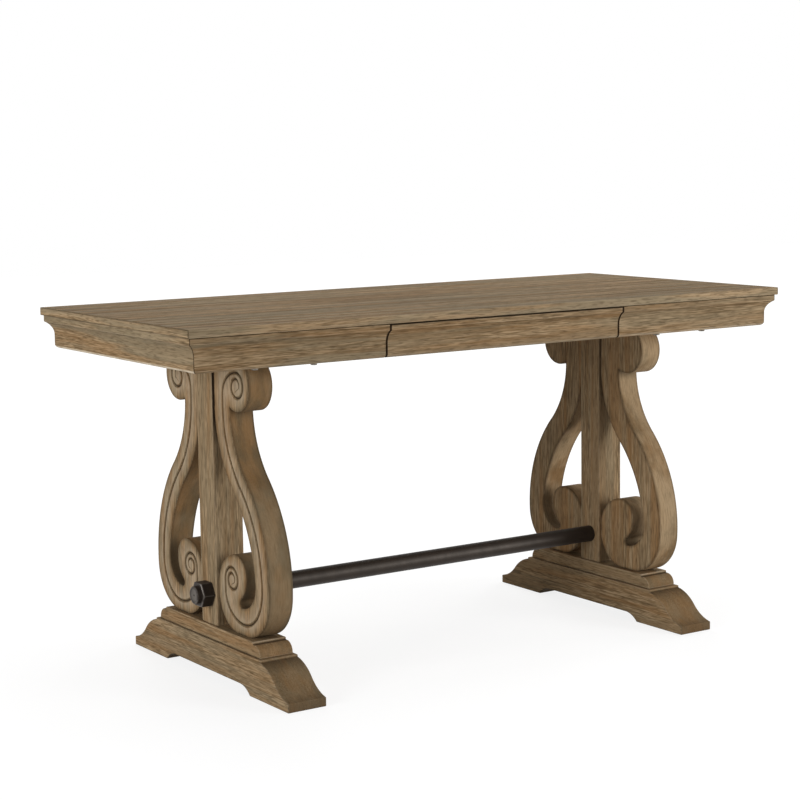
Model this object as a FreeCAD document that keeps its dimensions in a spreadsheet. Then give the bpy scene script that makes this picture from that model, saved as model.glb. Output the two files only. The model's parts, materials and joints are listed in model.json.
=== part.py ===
import FreeCAD, Part
import math
import os
import re
import Sketcher

Vector = FreeCAD.Vector
ACROSS = Vector(1, 0, 0)
ENDWAYS = Vector(0, 1, 0)
UP = Vector(0, 0, 1)
HANDS = (("left", -1), ("right", 1))

# How near an edge lies to a level, in millimetres, to count as being on it
TOUCH = 0.1

# Driving dimensions, in millimetres unless the name ends in share, count or sides
SIZES = {
    # Whole desk
    "desk_width": 1524,
    "desk_depth": 680,
    "desk_height": 775,
    "top_thickness": 17,
    "top_edge_ease": 1.5,
    # Crown moulding round the apron, measured in from the edge of the top
    "apron_height": 70.5,
    "fascia_setback": 5.6,
    "fascia_height": 13.5,
    "cove_depth": 16.4,
    "cove_height": 27,
    "lip_radius": 6,
    "apron_thickness": 24,
    "corner_block_leg": 60,
    "corner_block_height": 55,
    # Pedestals
    "pedestal_inset": 245,
    "foot_length": 676,
    "foot_width": 89,
    "foot_height": 84,
    "toe_height": 19,
    "ledge_reach": 230,
    "ledge_step": 4.5,
    "ogee_radius": 92,
    "relief_height": 17.5,
    "relief_reach": 183,
    "relief_run": 40,
    "plinth_length": 440,
    "plinth_width": 78,
    "plinth_height": 30,
    "plinth_round": 22,
    "plinth_fillet": 5,
    "plinth_quirk": 5,
    "post_width": 67,
    "post_ease": 2,
    # Scrolls, measured out from the axis of the post and up from the plinth
    "scroll_thickness": 56,
    "stem_width": 64.5,
    "volute_radius": 55,
    "volute_offset": 27,
    "belly_reach": 244.4,
    "belly_height": 108.8,
    "band_width": 54.4,
    "hollow_height": 80.7,
    "outer_bend_share": 0.4,
    "inner_bend_share": 0.43,
    "crotch_drop": 104.5,
    "heel_reach": 147.3,
    "lobe_height": 164.5,
    "lobe_brow_share": 0.364,
    "lobe_flat": 10,
    "slot_width": 39.5,
    "slot_hook": 19.5,
    "slot_end_radius": 9,
    "slot_floor_height": 57,
    # Stretcher between the posts, with the rod and nuts that draw the posts against it
    "stretcher_rise": 66,
    "stretcher_diameter": 38,
    "stretcher_wall": 2.5,
    "tie_rod_diameter": 12,
    "tie_rod_clearance": 0.5,
    "nut_flats": 50,
    "nut_length": 27.5,
    "nut_grip": 24,
    "nut_chamfer": 2.5,
    "boss_length": 10,
    "boss_chamfer": 1.5,
    # Boards and bearers that carry the top on the pedestals
    "board_width": 170,
    "board_thickness": 20,
    "bearer_depth": 45,
    "mount_bolt_spacing": 135,
    "mount_bolt_setback": 18,
    "mount_bolt_diameter": 8,
    "mount_bolt_depth": 36,
    "mount_head_flats": 13,
    "mount_head_height": 5.3,
    "washer_diameter": 18,
    "washer_thickness": 1.6,
    "insert_diameter": 12,
    "insert_length": 20,
    # Fixings hidden in the pedestals
    "lag_diameter": 8,
    "lag_head_flats": 13,
    "lag_recess_diameter": 20,
    "lag_head_height": 6,
    "lag_sink": 4,
    "lag_inner_offset": 45,
    "lag_outer_offset": 100,
    "lag_depth": 20,
    "board_screw_offset": 16,
    "board_screw_depth": 40,
    "dowel_diameter": 10,
    "dowel_depth": 25,
    "dowel_drop": 27,
    "dowel_spacing": 50,
    "post_dowel_offset": 16,
    # Drawer, its slides and the rails that carry them
    "opening_width": 608,
    "drawer_gap": 2,
    "drawer_overrun": 6,
    "drawer_side_thickness": 12,
    "drawer_side_height": 50,
    "drawer_floor_clearance": 9.5,
    "drawer_bottom_thickness": 6,
    "drawer_bottom_rise": 5,
    "drawer_groove": 6,
    "drawer_dowel_diameter": 6,
    "drawer_dowel_depth": 12,
    "drawer_fixing_high_share": 0.25,
    "drawer_fixing_low_share": 0.6,
    "rail_thickness": 20,
    "rail_height": 60,
    "slide_thickness": 12.7,
    "slide_height": 35,
    "slide_length": 390,
    "slide_setback": 4,
    "slide_drop": 36,
    "slide_wall": 1.4,
    "slide_play": 0.5,
    "slide_lip": 9.5,
    "slide_screw_count": 3,
    "slide_screw_margin": 60,
    "screw_diameter": 4,
    "screw_head_diameter": 7,
    "screw_length": 12,
    "rail_screw_depth": 10,
    "fastener_sides": 6,
}

doc = FreeCAD.newDocument("OfficeDesk")
sheet = doc.addObject("Spreadsheet::Sheet", "Sizes")
worked = doc.addObject("App::VarSet", "Worked")
for row, (alias, size) in enumerate(SIZES.items(), start=1):
    sheet.set(f"A{row}", alias)
    sheet.set(f"B{row}", str(size))
    sheet.setAlias(f"B{row}", alias)
doc.recompute()


# Expressions

def bound(text):
    """The expression with each size and worked value named by the object that holds it."""
    def holder(match):
        word = match.group()
        if word in SIZES:
            return f"Sizes.{word}"
        return f"Worked.{word}" if word in worked.PropertiesList else word
    return re.sub(r"[a-z_]+", holder, text)


def number(text):
    """What an expression comes to now."""
    return float(sheet.evalExpression(bound(text)))


def bind(thing, **expressions):
    """Tie properties to expressions; a double underscore in a name stands for a dot."""
    for path, text in expressions.items():
        thing.setExpression(path.replace("__", "."), bound(text))


def derive(name, text):
    """A worked value that follows the sizes."""
    worked.addProperty("App::PropertyFloat", name)
    worked.setExpression(name, bound(text))


def derive_s_curve(edge, start, start_up, reach, widest_up, share, toe, toe_up):
    """An S of two tangent arcs, upright at its start, and the arc that turns it onto a level floor."""
    lower = f"{edge}_lower_radius"
    derive(f"{edge}_across", f"{reach} - {start}")
    derive(f"{edge}_down", f"{start_up} - {widest_up}")
    derive(f"{edge}_span", f"({edge}_across ^ 2 + {edge}_down ^ 2) / (2 * {edge}_across)")
    derive(f"{edge}_upper_radius", f"{share} * {edge}_span")
    derive(lower, f"(1 - {share}) * {edge}_span")
    derive(f"{edge}_bend_across", f"{start} + {share} * {edge}_across")
    derive(f"{edge}_bend_up", f"{start_up} - {share} * {edge}_down")
    derive(f"{edge}_run", f"{toe} - {reach} + {lower}")
    derive(f"{edge}_drop", f"{toe_up} - {widest_up}")
    derive(f"{edge}_toe_radius",
           f"({lower} ^ 2 - {edge}_run ^ 2 - {edge}_drop ^ 2) / (2 * ({lower} + {edge}_drop))")
    derive(f"{edge}_toe_share", f"{lower} / ({lower} - {edge}_toe_radius)")
    derive(f"{edge}_turn_across", f"{reach} - {lower} + {edge}_run * {edge}_toe_share")
    derive(f"{edge}_turn_up", f"{widest_up} + ({edge}_drop + {edge}_toe_radius) * {edge}_toe_share")


# Levels, faces and centres that several pieces share
derive("pedestal_offset", "desk_width / 2 - pedestal_inset")
derive("underside", "desk_height - top_thickness")
derive("apron_bottom", "underside - apron_height")
derive("apron_face", "fascia_setback + cove_depth")
derive("apron_back", "apron_face + apron_thickness")
derive("cove_radius", "(cove_depth ^ 2 + cove_height ^ 2) / (2 * cove_depth)")
derive("frame_depth", "desk_depth / 2 - apron_back")
derive("plinth_top", "foot_height + plinth_height")
derive("post_face", "post_width / 2")
derive("stretcher_up", "plinth_top + stretcher_rise")
derive("board_top", "apron_bottom + board_thickness")
derive("mount_bolt_reach", "frame_depth - mount_bolt_setback")
derive("lag_seat", "relief_height + lag_sink + lag_head_height")
derive("box_half", "opening_width / 2 - slide_thickness")
derive("box_inside", "box_half - drawer_side_thickness")
derive("box_floor", "apron_bottom + drawer_floor_clearance")
derive("box_top", "box_floor + drawer_side_height")
derive("bottom_up", "box_floor + drawer_bottom_rise")
derive("bottom_top", "bottom_up + drawer_bottom_thickness")
derive("rail_face", "opening_width / 2")
derive("slide_up", "underside - slide_drop")
derive("slide_front", "slide_setback - frame_depth")
derive("box_back", "slide_front + slide_length + drawer_overrun")

# Turning points of the scroll
derive("stem_face", "post_face + stem_width")
derive("volute_across", "stem_face + volute_offset")
derive("volute_up", "apron_bottom - volute_radius")
derive("notch_up", "volute_up - sqrt(volute_radius ^ 2 - volute_offset ^ 2)")
derive("belly_up", "plinth_top + belly_height")
derive("crotch_up", "apron_bottom - crotch_drop")
derive("hollow_reach", "belly_reach - band_width")
derive("hollow_up", "plinth_top + hollow_height")
derive("lobe_top", "plinth_top + lobe_height")
derive("lobe_cheek", "hollow_reach - slot_width")
derive("brow_radius", "lobe_brow_share * (lobe_cheek - post_face)")
derive("shoulder_radius", "lobe_cheek - post_face - brow_radius")
derive("heel_radius", "lobe_height - shoulder_radius - lobe_flat")
derive("scroll_seat", "(post_face + heel_radius + heel_reach) / 2")
derive("slot_across", "lobe_cheek - slot_hook")
derive("slot_floor", "plinth_top + slot_floor_height")
derive("cheek_up", "lobe_top - brow_radius")
derive("cheek_drop", "cheek_up - slot_floor - slot_end_radius")
derive("cheek_radius",
       "(slot_hook ^ 2 + cheek_drop ^ 2 - slot_end_radius ^ 2) / (2 * (slot_hook + slot_end_radius))")
derive("cheek_share", "cheek_radius / (cheek_radius + slot_end_radius)")
derive_s_curve("outer", "stem_face", "notch_up", "belly_reach", "belly_up", "outer_bend_share",
               "heel_reach", "plinth_top")
derive_s_curve("inner", "post_face", "crotch_up", "hollow_reach", "hollow_up", "inner_bend_share",
               "slot_across", "slot_floor")
doc.recompute()


# Sketches and features

def sketch_on(body, role, offset="0"):
    """A sketch on one of the body's own planes, moved along that plane's normal."""
    sketch = body.newObject("Sketcher::SketchObject", f"{body.Name}_outline")
    plane = next(feature for feature in body.Origin.OriginFeatures if feature.Role == role)
    sketch.AttachmentSupport = [(plane, "")]
    sketch.MapMode = "FlatFace"
    bind(sketch, AttachmentOffset__Base__z=offset)
    return sketch


def fix(sketch, text, kind, *place):
    """A dimension of the sketch, tied to an expression."""
    index = sketch.addConstraint(Sketcher.Constraint(kind, *place, number(text)))
    sketch.setExpression(f"Constraints[{index}]", bound(text))


def arc_between(start, end, radius, turn):
    """The shorter arc, where turn is 1 for anticlockwise and -1 for clockwise."""
    chord = end - start
    rise = math.sqrt(radius ** 2 - chord.Length ** 2 / 4)
    centre = (start + end) / 2 + Vector(-chord.y, chord.x, 0).normalize() * rise * turn
    circle = Part.Circle(centre, UP, radius)
    first, last = (start, end) if turn > 0 else (end, start)
    return Part.ArcOfCircle(circle, circle.parameter(first), circle.parameter(last))


def draw(sketch, corners):
    """A closed outline of corners (across, up), each with (radius, turn) where an arc leaves it."""
    points = [Vector(number(corner[0]), number(corner[1])) for corner in corners]
    strokes = []
    for corner, start, end in zip(corners, points, points[1:] + points[:1]):
        if len(corner) == 2:
            strokes.append((sketch.addGeometry(Part.LineSegment(start, end)), 1, 2))
            continue
        radius, turn = corner[2:]
        stroke = sketch.addGeometry(arc_between(start, end, number(radius), turn))
        strokes.append((stroke, 1, 2) if turn > 0 else (stroke, 2, 1))
        fix(sketch, radius, "Radius", stroke)
    for corner, (stroke, start, end), following in zip(corners, strokes, strokes[1:] + strokes[:1]):
        sketch.addConstraint(Sketcher.Constraint("Coincident", stroke, end, following[0], following[1]))
        fix(sketch, corner[0], "DistanceX", -1, 1, stroke, start)
        fix(sketch, corner[1], "DistanceY", -1, 1, stroke, start)


def draw_circle(sketch, across, up, radius):
    circle = Part.Circle(Vector(number(across), number(up)), UP, number(radius))
    ring = sketch.addGeometry(circle)
    fix(sketch, across, "DistanceX", -1, 1, ring, 3)
    fix(sketch, up, "DistanceY", -1, 1, ring, 3)
    fix(sketch, radius, "Radius", ring)


def new_body(label):
    return doc.addObject("PartDesign::Body", label)


def pad(body, sketch, length, side="One side"):
    feature = body.newObject("PartDesign::Pad", f"{body.Name}_pad")
    feature.Profile = sketch
    feature.SideType = side
    bind(feature, Length=length)
    return feature


def cut_through(body, sketch):
    """A pocket that leaves the body on both sides of its sketch."""
    feature = body.newObject("PartDesign::Pocket", f"{body.Name}_pocket")
    feature.Profile = sketch
    feature.SideType = "Symmetric"
    feature.Type = "ThroughAll"
    return feature


def ease(body, kind, base, chosen, size):
    """A fillet or chamfer on the edges of the base feature that the test chooses."""
    doc.recompute()
    names = [f"Edge{place}" for place, edge in enumerate(base.Shape.Edges, start=1) if chosen(edge)]
    feature = body.newObject(f"PartDesign::{kind}", f"{body.Name}_ease")
    feature.Base = (base, names)
    bind(feature, **{"Radius" if kind == "Fillet" else "Size": size})


def board(label, x, y, z):
    """A square-edged board between pairs of expressions for its near and far faces."""
    box = doc.addObject("Part::Box", label)
    for side, axis, (near, far) in zip(("Length", "Width", "Height"), "xyz", (x, y, z)):
        bind(box, **{side: f"({far}) - ({near})", f"Placement__Base__{axis}": near})
    return box


def group(label, members):
    compound = doc.addObject("Part::Compound", label)
    compound.Links = members
    return compound


def drilled(label, blank, fittings):
    """The blank with the room that its fittings take cut out of it."""
    blank.Label = f"{label}_blank"
    cut = doc.addObject("Part::Cut", f"{label}_drilled")
    cut.Label = label
    cut.Base = blank
    cut.Tool = fittings[0] if len(fittings) == 1 else group(f"{label}_fittings", fittings)
    return cut


def mirrored(label, source, normal):
    copy = doc.addObject("Part::Mirroring", label)
    copy.Source = source
    copy.Normal = normal
    return copy


# Fasteners

def outline_round(radius, height, sides):
    """A regular polygon about Z with a corner on X."""
    around = [math.radians(360 * side / sides) for side in range(sides)]
    corners = [Vector(radius * math.cos(turn), radius * math.sin(turn), height) for turn in around]
    return Part.makePolygon(corners + corners[:1])


def bar(diameter, *heights, tip=None):
    """A straight bar about Z; with three heights it flares from the middle one to the tip diameter."""
    sides = round(number("fastener_sides"))
    across = [diameter] * len(heights) if tip is None else [diameter, diameter, tip]
    rings = [outline_round(number(size) / 2, number(height), sides) for size, height in zip(across, heights)]
    return Part.makeLoft(rings, True, True)


def hexagon(flats, low, high):
    face = Part.Face(outline_round(number(flats) / math.sqrt(3), number(low), 6))
    return face.extrude(UP * (number(high) - number(low)))


def sleeve(outer, inner, low, high):
    return bar(outer, low, high).cut(bar(inner, low, high)).Solids[0]


def set_out(label, shape, places, direction=UP):
    """Copies of a fastener, a solid each, with its Z turned to a direction."""
    turn = FreeCAD.Rotation(UP, direction)
    copies = []
    for place in places:
        copy = shape.copy()
        copy.Placement = FreeCAD.Placement(place, turn)
        copies.append(copy)
    feature = doc.addObject("Part::Feature", label)
    feature.Shape = Part.makeCompound(copies)
    return feature


def countersunk_screw(length):
    """A screw whose head is flush with Z at zero and whose shank runs down from it."""
    neck = "(screw_diameter - screw_head_diameter) / 2"
    return bar("screw_diameter", f"-({length})", neck, "0", tip="screw_head_diameter")


def dowel(diameter, depth):
    return bar(diameter, f"-{depth}", depth)


pedestals = [-number("pedestal_offset"), number("pedestal_offset")]


def along_pedestals(level, *offsets):
    """A place in front of and behind each pedestal's axis at every offset, all on one level."""
    return [Vector(x, side * number(offset), number(level))
            for x in pedestals for offset in offsets for side in (-1, 1)]


foot_lag_shank = bar("lag_diameter", "0", "foot_height - lag_seat + lag_depth")
foot_lag_head = hexagon("lag_head_flats", "-lag_head_height", "0")
foot_lag_places = along_pedestals("lag_seat", "lag_inner_offset", "lag_outer_offset")
foot_lags = set_out("foot_lag_screws", foot_lag_shank.fuse(foot_lag_head).Solids[0], foot_lag_places)

plinth_dowel_places = along_pedestals("plinth_top", "post_dowel_offset", "scroll_seat")
plinth_dowels = set_out("plinth_dowels", dowel("dowel_diameter", "dowel_depth"), plinth_dowel_places)

board_screw_places = []
for x in pedestals:
    for side in (-1, 1):
        board_screw_places.append(Vector(x + side * number("board_screw_offset"), 0, number("board_top")))
        board_screw_places.append(Vector(x, side * number("volute_across"), number("board_top")))
board_screw = countersunk_screw("board_thickness + board_screw_depth")
board_screws = set_out("board_screws", board_screw, board_screw_places)

scroll_dowel_places = [Vector(x, side * number("post_face"), number("apron_bottom - dowel_drop") - drop)
                       for x in pedestals for side in (-1, 1) for drop in (0, number("dowel_spacing"))]
scroll_dowels = set_out("scroll_dowels", dowel("dowel_diameter", "dowel_depth"), scroll_dowel_places, ENDWAYS)

mount_places = [Vector(x + side * number("mount_bolt_spacing / 2"), end * number("mount_bolt_reach"),
                       number("apron_bottom"))
                for x in pedestals for side in (-1, 1) for end in (-1, 1)]
mount_shank = bar("mount_bolt_diameter", "-washer_thickness", "board_thickness + mount_bolt_depth")
mount_head = hexagon("mount_head_flats", "-washer_thickness - mount_head_height", "-washer_thickness")
mount_bolts = set_out("mount_bolts", mount_shank.fuse(mount_head).Solids[0], mount_places)
mount_washer = sleeve("washer_diameter", "mount_bolt_diameter", "-washer_thickness", "0")
mount_washers = set_out("mount_washers", mount_washer, mount_places)
bolt_insert = sleeve("insert_diameter", "mount_bolt_diameter", "board_thickness",
                     "board_thickness + insert_length")
bolt_inserts = set_out("bolt_inserts", bolt_insert, mount_places)

slide_screw_step = number("(slide_length - 2 * slide_screw_margin) / (slide_screw_count - 1)")
slide_screw_rows = [number("slide_front + slide_screw_margin") + place * slide_screw_step
                    for place in range(round(number("slide_screw_count")))]


def slide_screws(label, web_face, inward):
    """Countersunk screws in line along both slides, their heads flush with the web of the slide."""
    sides = []
    for hand, side in HANDS:
        places = [Vector(side * number(web_face), y, number("slide_up")) for y in slide_screw_rows]
        screw = countersunk_screw("screw_length")
        sides.append(set_out(f"{label}_{hand}", screw, places, ACROSS * side * inward))
    return group(label, sides)


rail_slide_screws = slide_screws("rail_slide_screws", "rail_face - slide_wall", -1)
drawer_slide_screws = slide_screws("drawer_slide_screws", "box_half + slide_wall", 1)
rail_screw_places = [Vector(side * number("rail_face + rail_thickness / 2"), y + slide_screw_step / 2,
                            number("underside - rail_height"))
                     for side in (-1, 1) for y in slide_screw_rows]
rail_screw = countersunk_screw("rail_height + rail_screw_depth")
rail_screws = set_out("rail_screws", rail_screw, rail_screw_places, -UP)

drawer_fixing_levels = [number(f"box_top - drawer_fixing_{level}_share * drawer_side_height")
                        for level in ("high", "low")]
drawer_dowel_across = number("box_half - drawer_side_thickness / 2")
drawer_dowel_places = [Vector(side * drawer_dowel_across, -number("frame_depth"), z)
                       for side in (-1, 1) for z in drawer_fixing_levels]
drawer_dowels = set_out("drawer_dowels", dowel("drawer_dowel_diameter", "drawer_dowel_depth"),
                        drawer_dowel_places, ENDWAYS)
back_screw = countersunk_screw("drawer_side_thickness + screw_length")
back_screw_sides = []
for hand, side in HANDS:
    places = [Vector(side * number("box_half"), number("box_back - drawer_side_thickness / 2"), z)
              for z in drawer_fixing_levels]
    back_screw_sides.append(set_out(f"drawer_back_screws_{hand}", back_screw, places, ACROSS * side))
drawer_back_screws = group("drawer_back_screws", back_screw_sides)


# Top and crown moulding

def make_top_panel():
    body = new_body("top_panel")
    sketch = sketch_on(body, "XY_Plane", "underside")
    half = ("desk_width / 2", "desk_depth / 2")
    draw(sketch, [(f"-{half[0]}", f"-{half[1]}"), (half[0], f"-{half[1]}"), half, (f"-{half[0]}", half[1])])
    slab = pad(body, sketch, "top_thickness")
    top = number("desk_height") - TOUCH
    ease(body, "Fillet", slab, lambda edge: edge.BoundBox.ZMin > top, "top_edge_ease")
    return body


def crown_profile(sketch, edge, facing, top):
    """Fascia, cove and rounded lip, drawn in from the edge that faces 1 or -1 along the sketch."""
    def out(setback):
        return f"{facing} * ({edge} - ({setback}))"
    draw(sketch, [
        (out("fascia_setback"), top),
        (out("fascia_setback"), "underside - fascia_height", "cove_radius", facing),
        (out("apron_face"), "underside - fascia_height - cove_height"),
        (out("apron_face"), "apron_bottom + lip_radius", "lip_radius", -facing),
        (out("apron_face + lip_radius"), "apron_bottom"),
        (out("apron_back"), "apron_bottom"),
        (out("apron_back"), top)])


def mitre(body, side, end):
    """The 45 degree cut at the corner of the top on that side and end."""
    x = f"{side} * desk_width / 2"
    y = f"{end} * desk_depth / 2"
    inner_x = f"{side} * (desk_width / 2 - apron_back)"
    inner_y = f"{end} * (desk_depth / 2 - apron_back)"
    sketch = sketch_on(body, "XY_Plane", "underside")
    along_x = body.Name.startswith(("front", "back"))
    draw(sketch, [(x, y), (inner_x, inner_y), (x, inner_y) if along_x else (inner_x, y)])
    cut_through(body, sketch)


def make_front_moulding():
    body = new_body("front_moulding_left")
    sketch = sketch_on(body, "YZ_Plane", "-desk_width / 2")
    crown_profile(sketch, "desk_depth / 2", -1, "underside")
    pad(body, sketch, "desk_width / 2 - opening_width / 2")
    mitre(body, -1, -1)
    return body


def make_back_moulding():
    body = new_body("back_moulding")
    sketch = sketch_on(body, "YZ_Plane")
    crown_profile(sketch, "desk_depth / 2", 1, "underside")
    pad(body, sketch, "desk_width", "Symmetric")
    mitre(body, -1, 1)
    mitre(body, 1, 1)
    return body


def make_end_moulding():
    body = new_body("end_moulding_left")
    sketch = sketch_on(body, "XZ_Plane")
    crown_profile(sketch, "desk_width / 2", -1, "underside")
    pad(body, sketch, "desk_depth", "Symmetric")
    mitre(body, -1, -1)
    mitre(body, -1, 1)
    return body


def make_corner_blocks():
    """A triangular glue block in each corner behind the moulding."""
    body = new_body("corner_block_front_left")
    sketch = sketch_on(body, "XY_Plane", "underside - corner_block_height")
    x = "apron_back - desk_width / 2"
    y = "apron_back - desk_depth / 2"
    draw(sketch, [(x, y), (f"{x} + corner_block_leg", y), (x, f"{y} + corner_block_leg")])
    pad(body, sketch, "corner_block_height")
    back = mirrored("corner_block_back_left", body, ENDWAYS)
    rights = [mirrored(f"{block.Name}_mirror", block, ACROSS) for block in (body, back)]
    return group("corner_blocks", [body, back] + rights)


top_panel = drilled("top_panel", make_top_panel(), [rail_screws])
front_left = make_front_moulding()
end_left = make_end_moulding()
apron = [top_panel, front_left, mirrored("front_moulding_right", front_left, ACROSS), make_back_moulding(),
         end_left, mirrored("end_moulding_right", end_left, ACROSS), make_corner_blocks()]


# Pedestals

def make_foot():
    body = new_body("left_foot")
    sketch = sketch_on(body, "YZ_Plane", "-pedestal_offset")
    toe = "foot_length / 2"
    ledge = "foot_height - ledge_step"
    middle = (f"({toe} + ledge_reach) / 2", f"(toe_height + {ledge}) / 2")
    front = [(f"-({toe})", "0"),
             (f"-({toe})", "toe_height", "ogee_radius", 1),
             (f"-{middle[0]}", middle[1], "ogee_radius", -1),
             ("-ledge_reach", ledge),
             ("-ledge_reach", "foot_height")]
    back = [("ledge_reach", "foot_height"),
            ("ledge_reach", ledge, "ogee_radius", -1),
            (middle[0], middle[1], "ogee_radius", 1),
            (toe, "toe_height"),
            (toe, "0")]
    arch = "(relief_run ^ 2 + relief_height ^ 2) / (2 * relief_height)"
    relief = [("relief_reach", "0", arch, 1),
              ("relief_reach - relief_run", "relief_height"),
              ("relief_run - relief_reach", "relief_height", arch, 1),
              ("-relief_reach", "0")]
    draw(sketch, front + back + relief)
    pad(body, sketch, "foot_width", "Symmetric")
    return body


def make_plinth():
    """Board with a quarter round at each end, under a small square fillet."""
    body = new_body("left_plinth")
    sketch = sketch_on(body, "YZ_Plane", "-pedestal_offset")
    end = "plinth_length / 2"
    round_top = "plinth_top - plinth_fillet"
    fillet_end = f"{end} - plinth_round - plinth_quirk"
    draw(sketch, [
        (f"-{end}", "foot_height"),
        (f"-{end}", f"{round_top} - plinth_round", "plinth_round", -1),
        (f"plinth_round - {end}", round_top),
        (f"-({fillet_end})", round_top),
        (f"-({fillet_end})", "plinth_top"),
        (fillet_end, "plinth_top"),
        (fillet_end, round_top),
        (f"{end} - plinth_round", round_top, "plinth_round", -1),
        (end, f"{round_top} - plinth_round"),
        (end, "foot_height")])
    pad(body, sketch, "plinth_width", "Symmetric")
    return body


def make_post():
    body = new_body("left_post")
    sketch = sketch_on(body, "XY_Plane", "plinth_top")
    near, far = "-pedestal_offset - post_face", "post_face - pedestal_offset"
    draw(sketch, [(near, "-post_face"), (far, "-post_face"), (far, "post_face"), (near, "post_face")])
    pad(body, sketch, "apron_bottom - plinth_top")
    bore = sketch_on(body, "YZ_Plane", "-pedestal_offset")
    draw_circle(bore, "0", "stretcher_up", "tie_rod_diameter / 2 + tie_rod_clearance")
    drill = cut_through(body, bore)
    upright = number("apron_bottom - plinth_top") - TOUCH
    ease(body, "Chamfer", drill, lambda edge: edge.BoundBox.ZLength > upright, "post_ease")
    return body


def make_scroll():
    """The lyre scroll: volute under the apron, S-shaped band, and a lobe curled in against the post."""
    body = new_body("left_front_scroll")
    sketch = sketch_on(body, "YZ_Plane", "-pedestal_offset")
    cheek_foot = ("lobe_cheek - cheek_radius + cheek_share * (cheek_radius - slot_hook)",
                  "cheek_up - cheek_share * cheek_drop")
    outline = [
        ("post_face", "apron_bottom"),
        ("volute_across", "apron_bottom", "volute_radius", -1),
        ("volute_across + volute_radius", "volute_up", "volute_radius", -1),
        ("stem_face", "notch_up", "outer_upper_radius", 1),
        ("outer_bend_across", "outer_bend_up", "outer_lower_radius", -1),
        ("outer_turn_across", "outer_turn_up", "outer_toe_radius", -1),
        ("heel_reach", "plinth_top"),
        ("post_face + heel_radius", "plinth_top", "heel_radius", -1),
        ("post_face", "plinth_top + heel_radius"),
        ("post_face", "lobe_top - shoulder_radius", "shoulder_radius", -1),
        ("post_face + shoulder_radius", "lobe_top", "brow_radius", -1),
        ("lobe_cheek", "cheek_up", "cheek_radius", -1),
        (*cheek_foot, "slot_end_radius", 1),
        ("slot_across", "slot_floor", "inner_toe_radius", 1),
        ("inner_turn_across", "inner_turn_up", "inner_lower_radius", 1),
        ("inner_bend_across", "inner_bend_up", "inner_upper_radius", -1),
        ("post_face", "crotch_up")]
    draw(sketch, [(f"-({corner[0]})", corner[1]) if len(corner) == 2
                  else (f"-({corner[0]})", corner[1], corner[2], -corner[3]) for corner in outline])
    pad(body, sketch, "scroll_thickness", "Symmetric")
    return body


def make_board(side):
    near = f"{side} * pedestal_offset - board_width / 2"
    return board("mounting_board_blank", (near, f"{near} + board_width"), ("-frame_depth", "frame_depth"),
                 ("apron_bottom", "board_top"))


def make_bearer(side, end):
    near = f"{side} * pedestal_offset - board_width / 2"
    back = "bearer_depth - frame_depth" if end < 0 else "frame_depth"
    return board("bearer_blank", (near, f"{near} + board_width"), (f"{back} - bearer_depth", back),
                 ("board_top", "underside"))


lag_recesses = set_out("lag_recesses", bar("lag_recess_diameter", "relief_height - lag_seat", "0"),
                       foot_lag_places)
left_foot = drilled("left_foot", make_foot(), [lag_recesses, foot_lags])
left_plinth = drilled("left_plinth", make_plinth(), [foot_lags, plinth_dowels])
left_post = drilled("left_post", make_post(), [plinth_dowels, board_screws, scroll_dowels])
left_front_scroll = drilled("left_front_scroll", make_scroll(), [plinth_dowels, board_screws, scroll_dowels])
left_back_scroll = mirrored("left_back_scroll", left_front_scroll, ENDWAYS)
left_pedestal = [left_foot, left_plinth, left_post, left_front_scroll, left_back_scroll]
right_pedestal = [mirrored(piece.Label.replace("left", "right"), piece, ACROSS) for piece in left_pedestal]

carriers = []
for hand, side in HANDS:
    carriers.append(drilled(f"{hand}_mounting_board", make_board(side), [mount_bolts, board_screws]))
    for place, end in (("front", -1), ("back", 1)):
        bearer = make_bearer(side, end)
        carriers.append(drilled(f"{hand}_{place}_bearer", bearer, [mount_bolts, bolt_inserts]))


# Stretcher

def along_stretcher(label, length, *diameters):
    """A bar, or a tube of two diameters, centred on the stretcher's axis."""
    body = new_body(label)
    sketch = sketch_on(body, "YZ_Plane")
    for diameter in diameters:
        draw_circle(sketch, "0", "stretcher_up", f"({diameter}) / 2")
    pad(body, sketch, length, "Symmetric")
    return body


def make_tie_nut():
    """A decorative hexagon with a round boss, on the end of the rod that draws the post against the tube."""
    body = new_body("left_tie_nut")
    seat = "-pedestal_offset - post_face"
    face = f"{seat} - nut_length"
    end = f"{face} - boss_length"
    flats = sketch_on(body, "YZ_Plane", face)
    corner = "nut_flats / sqrt(3)"
    rise = "nut_flats / 2"
    draw(flats, [(corner, "stretcher_up"), (f"{corner} / 2", f"stretcher_up + {rise}"),
                 (f"-{corner} / 2", f"stretcher_up + {rise}"), (f"-{corner}", "stretcher_up"),
                 (f"-{corner} / 2", f"stretcher_up - {rise}"), (f"{corner} / 2", f"stretcher_up - {rise}")])
    hexagon_pad = pad(body, flats, "nut_length")
    ease(body, "Chamfer", hexagon_pad, lambda edge: edge.BoundBox.XMax < number(face) + TOUCH, "nut_chamfer")
    boss = sketch_on(body, "YZ_Plane", end)
    draw_circle(boss, "0", "stretcher_up", "stretcher_diameter / 2")
    boss_pad = pad(body, boss, "boss_length")
    ease(body, "Chamfer", boss_pad, lambda edge: edge.BoundBox.XMax < number(end) + TOUCH, "boss_chamfer")
    thread = sketch_on(body, "YZ_Plane", seat)
    draw_circle(thread, "0", "stretcher_up", "tie_rod_diameter / 2")
    bore = body.newObject("PartDesign::Pocket", "left_tie_nut_bore")
    bore.Profile = thread
    bind(bore, Length="nut_grip")
    return body


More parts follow.
